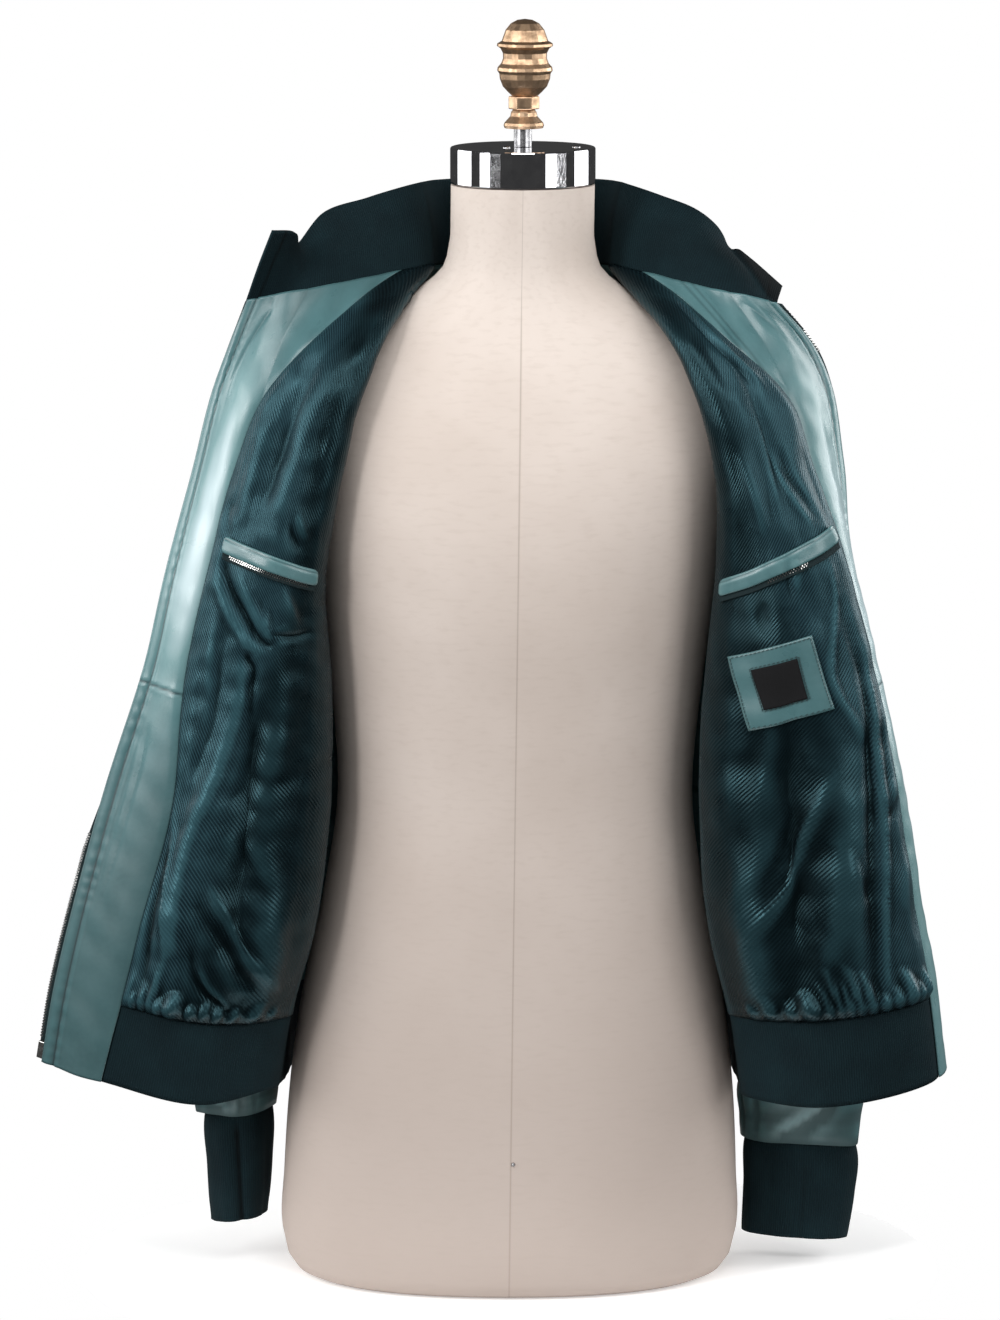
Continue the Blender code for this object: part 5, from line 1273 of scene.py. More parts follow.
def collar_runs():
    """For each collar station, right front, back neck, then left front: seam, way up, middle and top."""
    t_pair = np.array([PANEL_TOP - SHOULDER_FADE, PANEL_TOP])
    runs = []
    for side in SIDES:
        s, t = grid_of(np.linspace(0, COLUMN_PLACES[ROLL], 13), t_pair)
        below, line = lean(clear_of_form(front_points(side, s, t)))
        seam, way, shares = seam_stations(line, below, COLLAR_FRONT_STEPS)
        knots = [row.share for row in COLLAR[side]]
        mirror = np.array([side, 1, 1])
        middle = smooth(knots, [row.middle for row in COLLAR[side]], shares) * mirror
        top = smooth(knots, [row.top for row in COLLAR[side]], shares) * mirror
        runs.append((seam, way, middle, top))
    q, t = grid_of(np.linspace(-BACK_PLACES[1], BACK_PLACES[1], 9), t_pair)
    pair = back_points(q, t)
    pair[1] = back_neckline(q[0] / BACK_PLACES[1])
    below, line = lean(clear_of_form(pair))
    seam, way, shares = seam_stations(line, below, COLLAR_NECK_STEPS)
    across = 2 * shares[1:-1, None] - 1
    sideways = np.concatenate([np.sign(across), np.ones_like(across), np.ones_like(across)], axis=1)
    blend = np.abs(across) ** 1.5
    middle, top = (np.array(back) * (1 - blend) + neck * sideways * blend
                   for back, neck in zip(COLLAR_BACK[1:], COLLAR_NECK[1:]))
    runs.insert(1, (seam[1:-1], way[1:-1], middle, top))
    return [np.concatenate([right, back, left[::-1]]) for right, back, left in zip(*runs)]


def build_collar():
    """The rib collar stands on the neckline, from one front edge round the neck to the other."""
    base, way, middle, top = collar_runs()
    bend = np.linalg.norm(np.cross(way, unit(middle)), axis=1, keepdims=True)
    rise = way * (bend * KNIT / 2 - COLLAR_FOOT)
    shares = np.linspace(0, 1, COLLAR_ROWS + 1)
    points = smooth([0, 0.5, 1], [base + rise, base + middle, base + top], shares)
    normals = -normals_of(points)
    uv = grid_uv(path_lengths(points[COLLAR_ROWS // 2]), shares[:, None] * COLLAR_HEIGHT)
    start, up = uv[..., 0], uv[..., 1]
    end = start[:, -1:] - start
    seam = COLLAR_END_SEAM + COLLAR_END_LEAN * up
    groove = bell(start - seam, COLLAR_GROOVE) + bell(end - seam, COLLAR_GROOVE)
    to_lobe = end - COLLAR_LOBE_FOOT - COLLAR_LOBE_LEAN * up
    behind = eased(ramp(-to_lobe, COLLAR_LOBE_EDGE))
    lip = bell(to_lobe - 0.004, 0.005)
    points = points + normals * ((COLLAR_LIP * lip - COLLAR_SINK * behind) * up / COLLAR_HEIGHT)[..., None]
    # Painted shade in hollows and on the turned-back end behind the rest.
    tone = np.maximum(np.clip(hollowness(points, normals, 3, 0.0016), 0, 1), behind)
    shell("rib_collar", points + normals * KNIT / 2, normals, KNIT, "knit", uv, ["collar"],
          tone=tone, seam=np.clip(groove, 0, 1) * 0.8)


# ---------------------------------------------------------------- sleeves and cuffs
# Each ring spans from its inner point to its outer point, and from y_front to y_back, and is twisted by
# some degrees. The first ring of a cuff is where it leaves the sleeve.
Ring = namedtuple("Ring", "length inner_out inner_z outer_out outer_z y_front y_back twist")
SLEEVE = {
    RIGHT: (
        Ring(0.030, 0.1885, 0.510, 0.226, 0.730, -0.043, 0.079, 0),
        Ring(0.090, 0.1920, 0.480, 0.241, 0.668, -0.048, 0.088, 0),
        Ring(0.160, 0.1930, 0.440, 0.254, 0.582, -0.048, 0.090, 0),
        Ring(0.260, 0.1935, 0.370, 0.263, 0.450, -0.046, 0.087, 4),
        Ring(0.360, 0.1930, 0.285, 0.266, 0.335, -0.040, 0.078, 10),
        Ring(0.450, 0.1910, 0.200, 0.262, 0.225, -0.031, 0.066, 18),
        Ring(0.520, 0.1910, 0.128, 0.247, 0.126, -0.016, 0.054, 24),
    ),
    LEFT: (
        Ring(0.030, 0.1885, 0.510, 0.226, 0.730, -0.043, 0.079, 0),
        Ring(0.090, 0.1920, 0.480, 0.243, 0.668, -0.048, 0.088, 0),
        Ring(0.160, 0.1930, 0.440, 0.254, 0.582, -0.047, 0.090, 0),
        Ring(0.260, 0.1930, 0.370, 0.268, 0.450, -0.042, 0.085, -6),
        Ring(0.360, 0.1920, 0.285, 0.276, 0.335, -0.030, 0.076, -14),
        Ring(0.450, 0.1880, 0.195, 0.278, 0.215, -0.014, 0.066, -18),
        Ring(0.520, 0.1850, 0.102, 0.277, 0.098, 0.002, 0.056, -12),
    ),
}
CuffRow = namedtuple("CuffRow", "inner_out outer_out y_front y_back inner_z outer_z twist")
CUFF = {
    RIGHT: (
        CuffRow(0.1925, 0.241, -0.012, 0.050, 0.1245, 0.1215, 24),
        CuffRow(0.1925, 0.239, -0.010, 0.052, 0.080, 0.078, 22),
        CuffRow(0.1945, 0.237, -0.006, 0.050, 0.037, 0.033, 18),
    ),
    LEFT: (
        CuffRow(0.1875, 0.277, 0.004, 0.052, 0.0985, 0.0900, -12),
        CuffRow(0.1865, 0.276, 0.006, 0.053, 0.059, 0.052, -10),
        CuffRow(0.1855, 0.271, 0.008, 0.052, 0.021, 0.017, -8),
    ),
}
SLEEVE_SEAM = 0.0020     # the sleeve stands this far out from the armhole
SLEEVE_FLUSH = 0.0012
RING_POWER = 0.85        # 1 would be an ellipse
# Folds round a sleeve: (length down the sleeve, depth)
SLEEVE_FOLDS = ((0.205, 0.004), (0.245, -0.004), (0.300, 0.004), (0.385, -0.004), (0.425, 0.005),
                (0.462, -0.005), (0.495, 0.006))
SLEEVE_FOLD_LENGTH = 0.016
# Creases of a sleeve: turn round it, in degrees from its outer side by the front, and height above its end
# at both ends, in millimetres; then how far it stands out, and its half width
SLEEVE_CREASES = (
    (40, 26, 95, 2, -3.0, 5), (62, 22, 112, 0, 2.6, 4), (118, 34, 128, 0, -2.6, 4),
    (146, 30, 150, 2, -2.2, 3), (75, 60, 30, 40, 2.8, 7), (100, 80, 60, 58, -2.6, 8),
    (150, 70, 110, 46, 2.6, 8), (20, 110, 70, 84, 3.0, 10), (140, 130, 90, 104, -2.8, 10),
    (200, 40, 240, 4, -2.6, 6), (230, 70, 270, 44, 2.8, 9), (290, 50, 320, 8, -2.6, 6),
    (300, 100, 345, 70, 2.8, 10), (210, 150, 260, 110, -3.0, 12), (330, 170, 20, 140, -2.6, 12),
    (60, 200, 110, 170, 2.6, 14), (170, 230, 120, 260, -2.6, 14), (40, 300, 90, 270, -2.6, 14),
    (250, 240, 300, 210, 2.6, 14), (200, 330, 160, 300, 2.6, 14), (310, 330, 350, 290, -2.6, 16),
)
SLEEVE_RADIUS = 0.045    # turns a place round the sleeve into a distance
SLEEVE_LIP = 0.0013      # the turned-in edge over the cuff
SLEEVE_SAG = 0.0034      # that edge hangs this far below the last ring
# Above its cuff the leather lies in shade: (height above the cuff, added tone)
SLEEVE_SHADE = ((0.0, 1.0), (0.07, 0.90), (0.16, 0.48), (0.28, 0.0), (0.60, 0.0))
SLEEVE_COLUMNS = 104
SLEEVE_FINE_ROWS = 150
CUFF_FINE_ROWS = 30
CUFF_TUCK = 0.007        # the cuff runs this far up inside the sleeve
CUFF_TUCK_SHARE = 0.95
RIGHT_CUFF_FOLD = 0.056  # where the right cuff folds in, round it from its outer side by the front


def armhole_ring(side):
    """The armhole's points, all round."""
    ring = armhole_point(side, np.linspace(0, 2 * math.pi, SLEEVE_COLUMNS, endpoint=False))
    return ring + unit(ring - ring.mean(axis=0)) * SLEEVE_FLUSH + np.array([side, 0, 0]) * SLEEVE_SEAM


def tube_ring(side, row):
    """A flattened ring that starts at its outer point and runs round by the front."""
    angles = np.linspace(0, 2 * math.pi, SLEEVE_COLUMNS, endpoint=False)
    inner = np.array([row.inner_out, (row.y_front + row.y_back) / 2, row.inner_z])
    outer = np.array([row.outer_out, (row.y_front + row.y_back) / 2, row.outer_z])
    cos, sin = (np.sign(part) * np.abs(part) ** RING_POWER for part in (np.cos(angles), np.sin(angles)))
    offset = np.outer(cos, (outer - inner) / 2) + np.outer(sin, [0, -(row.y_back - row.y_front) / 2, 0])
    turned = offset @ np.array(Matrix.Rotation(math.radians(-row.twist), 3, "Z"))
    return ((inner + outer) / 2 + turned) * np.array([side, 1, 1])


def outward_of(points):
    """Unit vectors from a tube's middle."""
    return unit(points - points.mean(axis=1, keepdims=True))


def tube_uv(points):
    """'Cloth' coordinates of a tube, round it and down it."""
    closed = np.concatenate([points, points[:, :1]], axis=1)
    return grid_uv(path_lengths(closed[len(points) // 2]), path_lengths(points.mean(axis=1))[:, None])


def sleeve_relief(around, to_cuff):
    """How far a sleeve's slanting creases stand out."""
    total = np.zeros(np.broadcast_shapes(around.shape, to_cuff.shape))
    for start, high, end, low, height, width in SLEEVE_CREASES:
        turn = math.radians((end - start + 180) % 360 - 180)
        way = np.array([turn * SLEEVE_RADIUS, (low - high) * MM])
        ds = ((around - math.radians(start) + math.pi) % (2 * math.pi) - math.pi) * SLEEVE_RADIUS
        dt = to_cuff - high * MM
        share = ramp((ds * way[0] + dt * way[1]) / (way @ way))
        away = np.hypot(ds - share * way[0], dt - share * way[1])
        fade = 0.35 + 0.65 * np.sin(math.pi * np.clip(share, 0.05, 0.95))
        total += height * MM * bell(away, width * MM) * fade
    return total


def cuff_relief(side, along, down):
    """The rib's soft upright waves, and its tighter edge."""
    turns = along * 2 * math.pi
    waves = 0.0004 * np.sin(turns / 0.031 + side) + 0.00015 * np.sin(turns / 0.0132)
    waves = waves * ramp(down, 0.02) - 0.0008 * bell(down - 0.086, 0.010)
    if side == LEFT:
        return waves
    fold = bell(along - RIGHT_CUFF_FOLD - 0.02 * down, 0.0035) * ramp(down + 0.004, 0.02)
    return waves - 0.0032 * fold + 0.0012 * bell(along - RIGHT_CUFF_FOLD + 0.009, 0.006)


def build_sleeve(side):
    """A sleeve, from the armhole to its edge over the cuff."""
    lengths = [0.0] + [row.length for row in SLEEVE[side]]
    at = lengths[-1] * np.linspace(0, 1, SLEEVE_FINE_ROWS + 1)
    points = smooth(lengths, [armhole_ring(side)] + [tube_ring(side, row) for row in SLEEVE[side]], at)
    spread = sum(depth * bell(at - length, SLEEVE_FOLD_LENGTH) for length, depth in SLEEVE_FOLDS)
    around = np.linspace(0, 2 * math.pi, SLEEVE_COLUMNS, endpoint=False)
    to_cuff = lengths[-1] - at[:, None]
    uneven = 1 + 0.3 * np.sin(around * 4 + 2 * np.sin(around * 3))
    lip = SLEEVE_LIP * bell(to_cuff - 0.004, 0.006) * uneven
    creases = sleeve_relief(around[None], to_cuff) * ramp(0.55 + to_cuff / 0.2)
    points = points + outward_of(points) * (lip + creases + spread[:, None])[..., None]
    points[-1, :, 2] -= SLEEVE_SAG + 0.0010 * np.sin(around * 3 + 1.0)
    points = lean(points)
    outward = outward_of(points)
    # Painted shade in hollows and above the cuff, painted highlights on ridges.
    tone = np.clip(hollowness(points, outward, 2, 0.0008) + read_table(SLEEVE_SHADE, to_cuff), -1, 1)
    shell("leather_sleeve_" + LABEL[side], points, outward, LEATHER, "leather", tube_uv(points),
          ["sleeve_top_" + LABEL[side], "sleeve_under_" + LABEL[side]], wrap=True, tone=tone)


def build_cuff(side):
    """A rib cuff, tucked into its sleeve."""
    rings = [tube_ring(side, row) for row in CUFF[side]]
    middle = rings[0].mean(axis=0)
    rings.insert(0, middle + (rings[0] - middle) * CUFF_TUCK_SHARE + np.array([0, 0, CUFF_TUCK]))
    heights = path_lengths(np.mean(rings, axis=1))
    at = np.linspace(0, heights[-1], CUFF_FINE_ROWS + 1)
    points = lean(smooth(heights, rings, at))
    along = tube_uv(points)[0, :-1, 0][None]
    pull = cuff_relief(side, along, at[:, None] - heights[1])
    outward = outward_of(points)
    points = points + outward * pull[..., None]
    # Its tone paints shade in hollows.
    shell("rib_cuff_" + LABEL[side], points, outward, KNIT, "knit", tube_uv(points), ["cuff_" + LABEL[side]],
          wrap=True, tone=np.clip(hollowness(points, outward, 2), 0, 1))


# ---------------------------------------------------------------- pockets and label
Strip = namedtuple("Strip", "s_outer t_outer s_inner t_inner width")
WELT = {RIGHT: Strip(0.059, 0.449, 0.158, 0.427, 0.012), LEFT: Strip(0.064, 0.454, 0.168, 0.415, 0.013)}
WELT_THICK = 0.0014
WELT_LIFT = 0.0012       # off the lining
WELT_CORNER = 0.0045
WELT_STITCH = 0.0022     # from the welt's upper edge to the stitched line
POCKET_ZIP_WIDTH = 0.005
POCKET_ZIP_THICK = 0.0010
POCKET_ZIP_LIFT = 0.0006
POCKET_TEETH = {RIGHT: (0.06, 0.94), LEFT: (0.30, 0.62)}  # share of the welt below which closed teeth show
POCKET_TOOTH = (0.0010, 0.0009, 0.0008)
POCKET_TEETH_PITCH = 0.0024
POCKET_TEETH_LIFT = 0.0025
POCKET_TEETH_ROWS = 0.0008  # how far each row of teeth is off the chain's middle

# (s, t) of the patch's corners: outer and inner at its top, then outer and inner at its foot
PATCH_CORNERS = ((0.101, 0.378), (0.160, 0.359), (0.093, 0.312), (0.147, 0.295))
PATCH_SHARE = 0.94       # the patch's side over its solid's
WOVEN_SHARE = 0.51
PATCH_TONE = 0.13        # the patch is a little darker than the fronts
PATCH_LIFT = LAYER_GAP + 0.0004
STITCH = (0.00065, 0.0021, 0.0006)
STITCH_SPACING = 0.0031
STITCH_LIFT = 0.0003


def on_lining(side, s, t):
    """(points, outward normals) of the lining's face towards the wearer."""
    facing = facing_width(side, np.clip(t.ravel(), 0, PANEL_TOP)).reshape(t.shape)
    points, normals = front_panel(side, s, t)
    lift = LAYER_GAP + lining_relief(side, s, t, facing) + LINING
    return points - normals * lift[..., None], normals


def strip_place(strip, along, across):
    """(s, t) at shares along a strip and distances up across it."""
    s = strip.s_outer + (strip.s_inner - strip.s_outer) * along + across * 0
    t = strip.t_outer + (strip.t_inner - strip.t_outer) * along + across
    return s, t


def build_pocket(side):
    """A pocket's leather welt, and under it the closed zip with its teeth."""
    strip = WELT[side]
    length = math.hypot(strip.s_inner - strip.s_outer, strip.t_inner - strip.t_outer)
    low, high = -strip.width / 2, strip.width / 2
    along = np.linspace(0, 1, 91)
    from_end = ramp(np.minimum(along, 1 - along) * length, WELT_CORNER)
    rounding = np.sqrt(np.maximum(1 - (1 - from_end) ** 2, 0.0)) * 0.45 + 0.55
    rows = np.linspace(-1, 1, 15)[:, None]
    across = low + (high - low) * (0.5 + 0.5 * rows * rounding)
    s, t = strip_place(strip, along, across)
    # the welt thickens towards its free lower edge and is sewn flat along its upper one
    to_stitches = across - high + WELT_STITCH
    swell = 0.0008 * np.maximum(1 - rows**4, 0) * rounding + 0.0004 * (1 - rows) / 2
    swell = swell - 0.0005 * bell(to_stitches, 0.0008)
    points, normals = on_lining(side, s, t)
    points = points - normals * (LAYER_GAP + WELT_LIFT + swell)[..., None]
    # The welt's tone paints shade in hollows and highlights on ridges.
    shell("welt_" + LABEL[side], points, normals, WELT_THICK, "leather", grid_uv(s, t),
          ["pocket_welt_" + LABEL[side]], tone=hollowness(points, -normals, 2),
          seam=0.3 * bell(to_stitches, 0.0006))

    chain = low - POCKET_ZIP_WIDTH / 2
    across = chain - 0.0006 + np.linspace(-0.5, 0.5, 7)[:, None] * POCKET_ZIP_WIDTH + along * 0
    s, t = strip_place(strip, along, across)
    points, normals = on_lining(side, s, t)
    shell("pocket_chain_" + LABEL[side], points - normals * (LAYER_GAP + POCKET_ZIP_LIFT), normals,
          POCKET_ZIP_THICK, "zip_tape", grid_uv(s, t), ["pocket_zip_" + LABEL[side]])

    count = int(length / POCKET_TEETH_PITCH)
    marks = (np.arange(count) + 0.5) / count
    first, last = POCKET_TEETH[side]
    marks = marks[(marks > first) & (marks < last)]
    frames = []
    for off, shift in ((POCKET_TEETH_ROWS, 0.0), (-POCKET_TEETH_ROWS, 0.5 / count)):
        across = np.array([[0.0], [0.001]]) + chain + 0.0004 + off + marks * 0
        s, t = strip_place(strip, (marks + shift) * 0.98 + 0.01, across)
        (places, above), normals = on_lining(side, s, t)
        frames.extend(zip(places - normals[0] * POCKET_TEETH_LIFT, unit(above - places),
                          unit(np.gradient(places, axis=0))))
    add_blocks("pocket_teeth_" + LABEL[side], frames, POCKET_TOOTH, "zip_metal")


def patch_grid(share, cells):
    """(s, t) over the middle of the patch, this share of its sides wide."""
    span = 0.5 + np.linspace(-0.5, 0.5, cells + 1) * share
    inwards, down = np.meshgrid(span, span)
    top_outer, top_inner, foot_outer, foot_inner = np.array(PATCH_CORNERS)[:, :, None, None]
    top = top_outer * (1 - inwards) + top_inner * inwards
    foot = foot_outer * (1 - inwards) + foot_inner * inwards
    s, t = top * (1 - down) + foot * down
    return s[::-1], t[::-1]


def stitch_square(name, share):
    """Stitches on the patch, round a square inside it."""
    (low, high), (low_t, high_t) = patch_grid(share, 1)
    corners = np.array([(low[0], low_t[0]), (low[1], low_t[1]), (high[1], high_t[1]), (high[0], high_t[0])])
    frames = []
    for start, end in zip(corners, np.roll(corners, -1, axis=0)):
        span = np.linalg.norm(end - start)
        count = max(1, round(span / STITCH_SPACING))
        places = start + (end - start) * ((np.arange(count) + 0.5) / count)[:, None]
        beside = places + np.array([-(end - start)[1], (end - start)[0]]) / span * 0.001
        s, t = np.stack([places, beside]).transpose(2, 0, 1)
        points, normals = on_lining(LEFT, s, t)
        middles, others = points - normals * (PATCH_LIFT + LEATHER)
        wide = unit(others - middles)
        frames.extend(zip(middles - normals[0] * STITCH_LIFT, wide, unit(np.cross(normals[0], wide))))
    add_blocks(name, frames, STITCH, "leather", tone=1.0)


def build_label():
    """The leather patch, sewn to the left lining, and the bare woven label sewn to it."""
    s, t = patch_grid(PATCH_SHARE, 30)
    points, normals = on_lining(LEFT, s, t)
    shell("leather_patch", points - normals * PATCH_LIFT, normals, LEATHER, "leather", grid_uv(s, t),
          ["label_patch"], tone=PATCH_TONE)
    stitch_square("patch_stitches", PATCH_SHARE - 0.05)
    stitch_square("label_stitches", WOVEN_SHARE + 0.035)
    s, t = patch_grid(WOVEN_SHARE, 20)
    points, normals = on_lining(LEFT, s, t)
    shell("woven_label", points - normals * (PATCH_LIFT + LEATHER + LAYER_GAP), normals, LINING, "label",
          grid_uv(s, t), ["label"])


# ---------------------------------------------------------------- the front zip
# How far the tape stands out from the front edge: (t, reach). Above that it is turned in behind the edge.
TAPE_REACH = {
    RIGHT: ((0.0, 0.0042), (0.185, 0.0042), (0.225, 0.0004), (0.64, 0.0004)),
    LEFT: ((0.0, 0.0042), (0.030, 0.0042), (0.060, 0.0006), (0.55, 0.0006), (0.60, 0.0030), (0.64, 0.0036)),
}
ZIP_END_HEIGHT = 0.014
SLIDER_HEIGHT = 0.012
ZIP_GAP = 0.003
# The tapes start above the zip's pin, and above its box and slider
TAPE_START = {RIGHT: ZIP_END_HEIGHT + ZIP_GAP, LEFT: ZIP_END_HEIGHT + SLIDER_HEIGHT + ZIP_GAP}
TAPE_WIDTH = 0.004
TAPE_THICK = 0.0018
TAPE_ROW = 0.003
TEETH_PITCH = 0.0024
TEETH_REACH = 0.0028     # teeth show where the tape stands out further than this
TOOTH = (0.0024, 0.0013, 0.0026)  # across the tape, along it and through it
TOOTH_INSET = 0.0006     # a tooth's middle, from the tape's edge


def build_zip(side):
    """Half of the front zip: its tape and, where they show, its teeth."""
    t = steps(TAPE_START[side], PANEL_TOP - 0.001, TAPE_ROW)
    points, normals = front_panel(side, *grid_of(np.array([0.0, TAPE_WIDTH]), t))
    edge, out, normals = points[:, 0], unit(points[:, 0] - points[:, 1]), normals[:, 0]
    far = edge + out * (SEAM_INSET + read_table(TAPE_REACH[side], t)[:, None])
    near = edge + out * SEAM_INSET
    cloth = np.stack([near, (near + far) / 2, far], axis=1) + normals[:, None] * TAPE_THICK / 2
    uv = grid_uv(np.array([0, 0.5, 1]) * TAPE_WIDTH, t[:, None])
    shell("zip_cloth_" + LABEL[side], cloth, np.stack([normals] * 3, axis=1), TAPE_THICK, "zip_tape", uv,
          ["zip_tape_" + LABEL[side]])

    marks = np.arange(t[0] + 0.004, PANEL_TOP - 0.006, TEETH_PITCH)
    marks = marks[read_table(TAPE_REACH[side], marks) > TEETH_REACH]
    middles, across, along = (np.stack([np.interp(marks, t, part) for part in table.T], axis=1)
                              for table in (far, out, np.gradient(edge, axis=0)))
    across = unit(across)
    frames = list(zip(middles - across * TOOTH_INSET, across, unit(along)))
    add_blocks("zip_teeth_" + LABEL[side], frames, TOOTH, "zip_metal")


# ---------------------------------------------------------------- the dress form's look
FORM_FINE_SIDES = 120
FORM_FINE_ROW = 0.008
# Angles of extra columns beside the seams down the front and back
SEAM_ANGLES = (-0.022, -0.012, -0.006, -0.003, 0.003, 0.006, 0.012, 0.022)
# Painted shade on the canvas, (height, tone): darker towards the bottom.
CANVAS_LOW_SHADE = ((0.0, 0.85), (0.12, 0.75), (0.24, 0.62), (0.40, 0.40), (0.60, 0.22), (0.80, 0.0), (0.90, 0.0))
PIN_PLACE = (0.0018, 0.110)  # x and height of the pin that marks the centre front
PIN_RADIUS = 0.0016
# Rivets on the neck cap's top: (x, y, height, radius)
CAP_RIVETS = ((-0.0130, -0.010, 0.0016, 0.0030), (0.0412, -0.004, 0.0016, 0.0034))
BARE_SOLIDS = {
    "neck_cap": "chrome", "post": "steel", "finial": "brass", "finial_foot": "brass", "finial_nut": "brass",
    "zip_box": "zip_metal", "zip_pin": "zip_metal", "zip_slider": "zip_metal", "zip_pull": "zip_metal",
}


def build_form():
    """The canvas torso, closed at both ends, with a seam down its front and back."""
    beside = np.array(SEAM_ANGLES)
    angles = np.linspace(0, 2 * math.pi, FORM_FINE_SIDES, endpoint=False)
    angles = np.sort(np.concatenate([angles, beside + 0.5 * math.pi, beside + 1.5 * math.pi]))
    cos, sin = np.cos(angles), np.sin(angles)
    size = (np.abs(cos) ** FORM_POWER + np.abs(sin) ** FORM_POWER) ** (-1 / FORM_POWER)
    foot = [row.z for row in FORM_ROWS[:3]]
    heights = np.concatenate([foot, steps(FORM_ROWS[3].z, FORM_ROWS[-1].z, FORM_FINE_ROW)])
    sizes = form_sizes(heights)
    depth = np.where(sin < 0, sizes[:, 1:2], sizes[:, 2:3])
    points = lean(np.stack([sizes[:, :1] * size * cos, depth * size * sin,
                            np.broadcast_to(heights[:, None], depth.shape)], axis=2))
    closed = np.concatenate([points, points[:, :1]], axis=1)
    uv = grid_uv(path_lengths(closed[12]), heights[:, None])
    turn = np.minimum(np.abs(angles - 1.5 * math.pi), np.abs(angles - 0.5 * math.pi))
    mesh = sheet_mesh("canvas_form", points, uv, wrap=True, seam=bell(turn, 0.0032) * 0.55,
                      tone=read_table(CANVAS_LOW_SHADE, heights)[:, None])
    bm = bmesh.new()
    bm.from_mesh(mesh)
    bmesh.ops.holes_fill(bm, edges=[edge for edge in bm.edges if edge.is_boundary], sides=0)
    bmesh.ops.recalc_face_normals(bm, faces=bm.faces)
    bm.to_mesh(mesh)
    bm.free()
    mesh.shade_smooth()
    mesh.set_sharp_from_angle(angle=math.radians(50))
    add_piece("canvas_form", mesh, "canvas", ["form"])


def build_details():
    """The pin at the form's centre front and the rivets on its neck cap."""
    x, height = PIN_PLACE
    front = form_sizes(np.array([height]))[0, 1]
    add_dome("form_pin", (x + LEAN * height, -front, height), PIN_RADIUS, PIN_RADIUS, "steel")
    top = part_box("neck_cap")[1][2]
    for index, (x, y, height, radius) in enumerate(CAP_RIVETS):
        add_dome("cap_rivet_%d" % index, (x + LEAN * top, y, top), radius, height, "steel")


def dress_solids():
    """Nodes whose own shape shows get their material here."""
    for name, slot in BARE_SOLIDS.items():
        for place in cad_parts[name].material_slots:
            place.material = LOOKS[slot]


# ---------------------------------------------------------------- stage, lights and camera
FLOOR_RADIUS = 0.34
FLOOR_Z = -0.0006
WHITE = (1, 1, 1, 1)
SKY_FOR_CLOTH = 0.20      # even light from all round
SKY_FOR_SHINE = 0.05      # what smooth surfaces mirror between the soft boxes
# Upright soft boxes round the object: turn from the viewer to the right in degrees, width, height, power
BOXES = (
    (48, 1.5, 2.0, 30), (-60, 1.5, 2.0, 32), (-38, 0.5, 1.6, 30), (110, 1.8, 2.0, 52), (-110, 1.8, 2.0, 36),
)
BOX_DISTANCE = 2.7
CAMERA_TARGET = Vector((-0.007, 0.0, 0.487))
CAMERA_DISTANCE = 5.567
CAMERA_ELEVATION = math.radians(8.92)


def build_stage():
    """A small pale floor, just bright enough to merge into the background."""
    bm = bmesh.new()
    bmesh.ops.create_circle(bm, cap_ends=True, segments=96, radius=FLOOR_RADIUS)
    mesh = bpy.data.meshes.new("floor")
    bm.to_mesh(mesh)
    bm.free()
    floor = bpy.data.objects.new("floor", mesh)
    floor.location.z = FLOOR_Z
    bpy.context.scene.collection.objects.link(floor)
    pale = Paint("floor_paint", roughness=0.9, Base_Color=(0.9, 0.9, 0.9, 1), Emission_Color=WHITE,
                 Emission_Strength=0.30)
    mesh.materials.append(pale.material)


def area_light(name, place, target, size, power):
    """A soft box, turned to its target."""
    data = bpy.data.lights.new(name, "AREA")
    data.shape = "RECTANGLE"
    data.size, data.size_y = size
    data.energy = power
    lamp = bpy.data.objects.new(name, data)
    lamp.location = place
    lamp.rotation_euler = (Vector(target) - Vector(place)).to_track_quat("-Z", "Y").to_euler()
    bpy.context.scene.collection.objects.link(lamp)


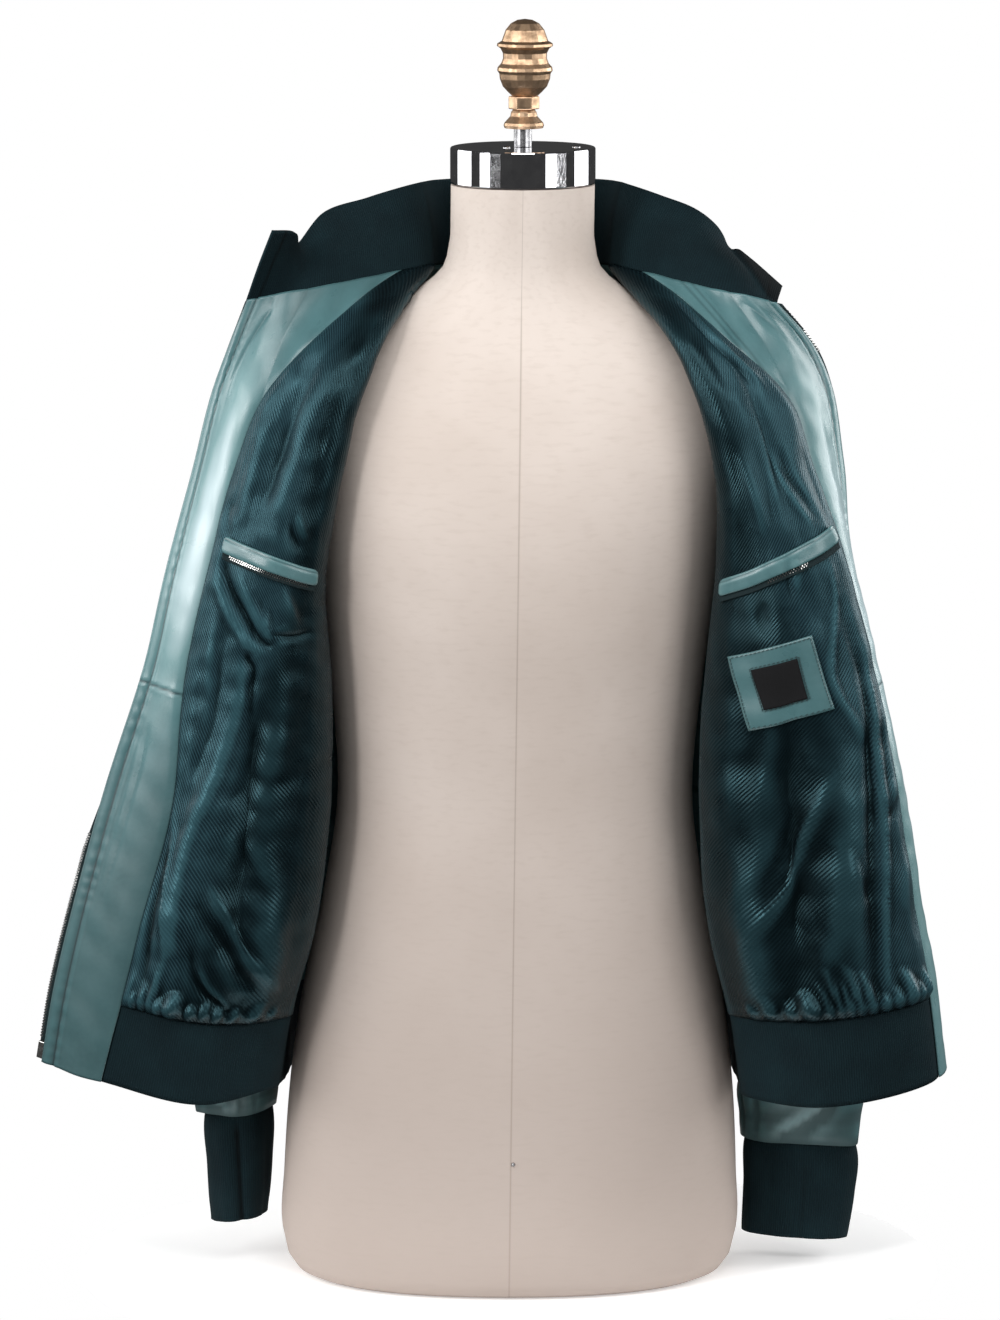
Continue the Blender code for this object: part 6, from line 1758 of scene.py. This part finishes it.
def build_lights():
    """Soft boxes round the object and one above, in an even sky that the camera sees as white."""
    for turn, width, height, power in BOXES:
        angle = math.radians(turn)
        place = (BOX_DISTANCE * math.sin(angle), -BOX_DISTANCE * math.cos(angle), 1.5)
        area_light("soft_box_%d_%d" % (turn, power), place, (0, 0, 0.95), (width, height), power)
    area_light("front_top", (0, -2.4, 3.2), (0, 0, 0.55), (2.4, 1.2), 50)
    world = bpy.data.worlds.new("studio")
    world.use_nodes = True
    tree = world.node_tree
    path = tree.nodes.new("ShaderNodeLightPath")
    last = tree.nodes["Background"]
    last.inputs["Color"].default_value = WHITE
    last.inputs["Strength"].default_value = SKY_FOR_CLOTH
    for ray, strength in (("Is Glossy Ray", SKY_FOR_SHINE), ("Is Camera Ray", 1.0)):
        shade = tree.nodes.new("ShaderNodeBackground")
        shade.inputs["Color"].default_value = WHITE
        shade.inputs["Strength"].default_value = strength
        blend = tree.nodes.new("ShaderNodeMixShader")
        tree.links.new(path.outputs[ray], blend.inputs[0])
        tree.links.new(last.outputs[0], blend.inputs[1])
        tree.links.new(shade.outputs[0], blend.inputs[2])
        last = blend
    tree.links.new(last.outputs[0], tree.nodes["World Output"].inputs["Surface"])
    bpy.context.scene.world = world
    bpy.context.scene.view_settings.view_transform = "Standard"


def build_camera():
    """The photograph's view: from the front, a little above."""
    data = bpy.data.cameras.new("camera")
    data.lens = 193
    data.sensor_width = 36
    camera = bpy.data.objects.new("camera", data)
    away = Vector((0, -math.cos(CAMERA_ELEVATION), math.sin(CAMERA_ELEVATION)))
    camera.location = CAMERA_TARGET + away * CAMERA_DISTANCE
    camera.rotation_euler = (-away).to_track_quat("-Z", "Y").to_euler()
    bpy.context.scene.collection.objects.link(camera)
    bpy.context.scene.camera = camera


def write_size():
    """Only brings the view layer up to date."""
    bpy.context.view_layer.update()


for side in SIDES:
    build_front(side)
    build_facing(side)
    build_lining(side)
build_back()
build_hem_band()
build_collar()
for side in SIDES:
    build_sleeve(side)
    build_cuff(side)
for side in SIDES:
    build_pocket(side)
build_label()
for side in SIDES:
    build_zip(side)
build_form()
build_details()
dress_solids()
build_stage()
build_lights()
build_camera()
write_size()
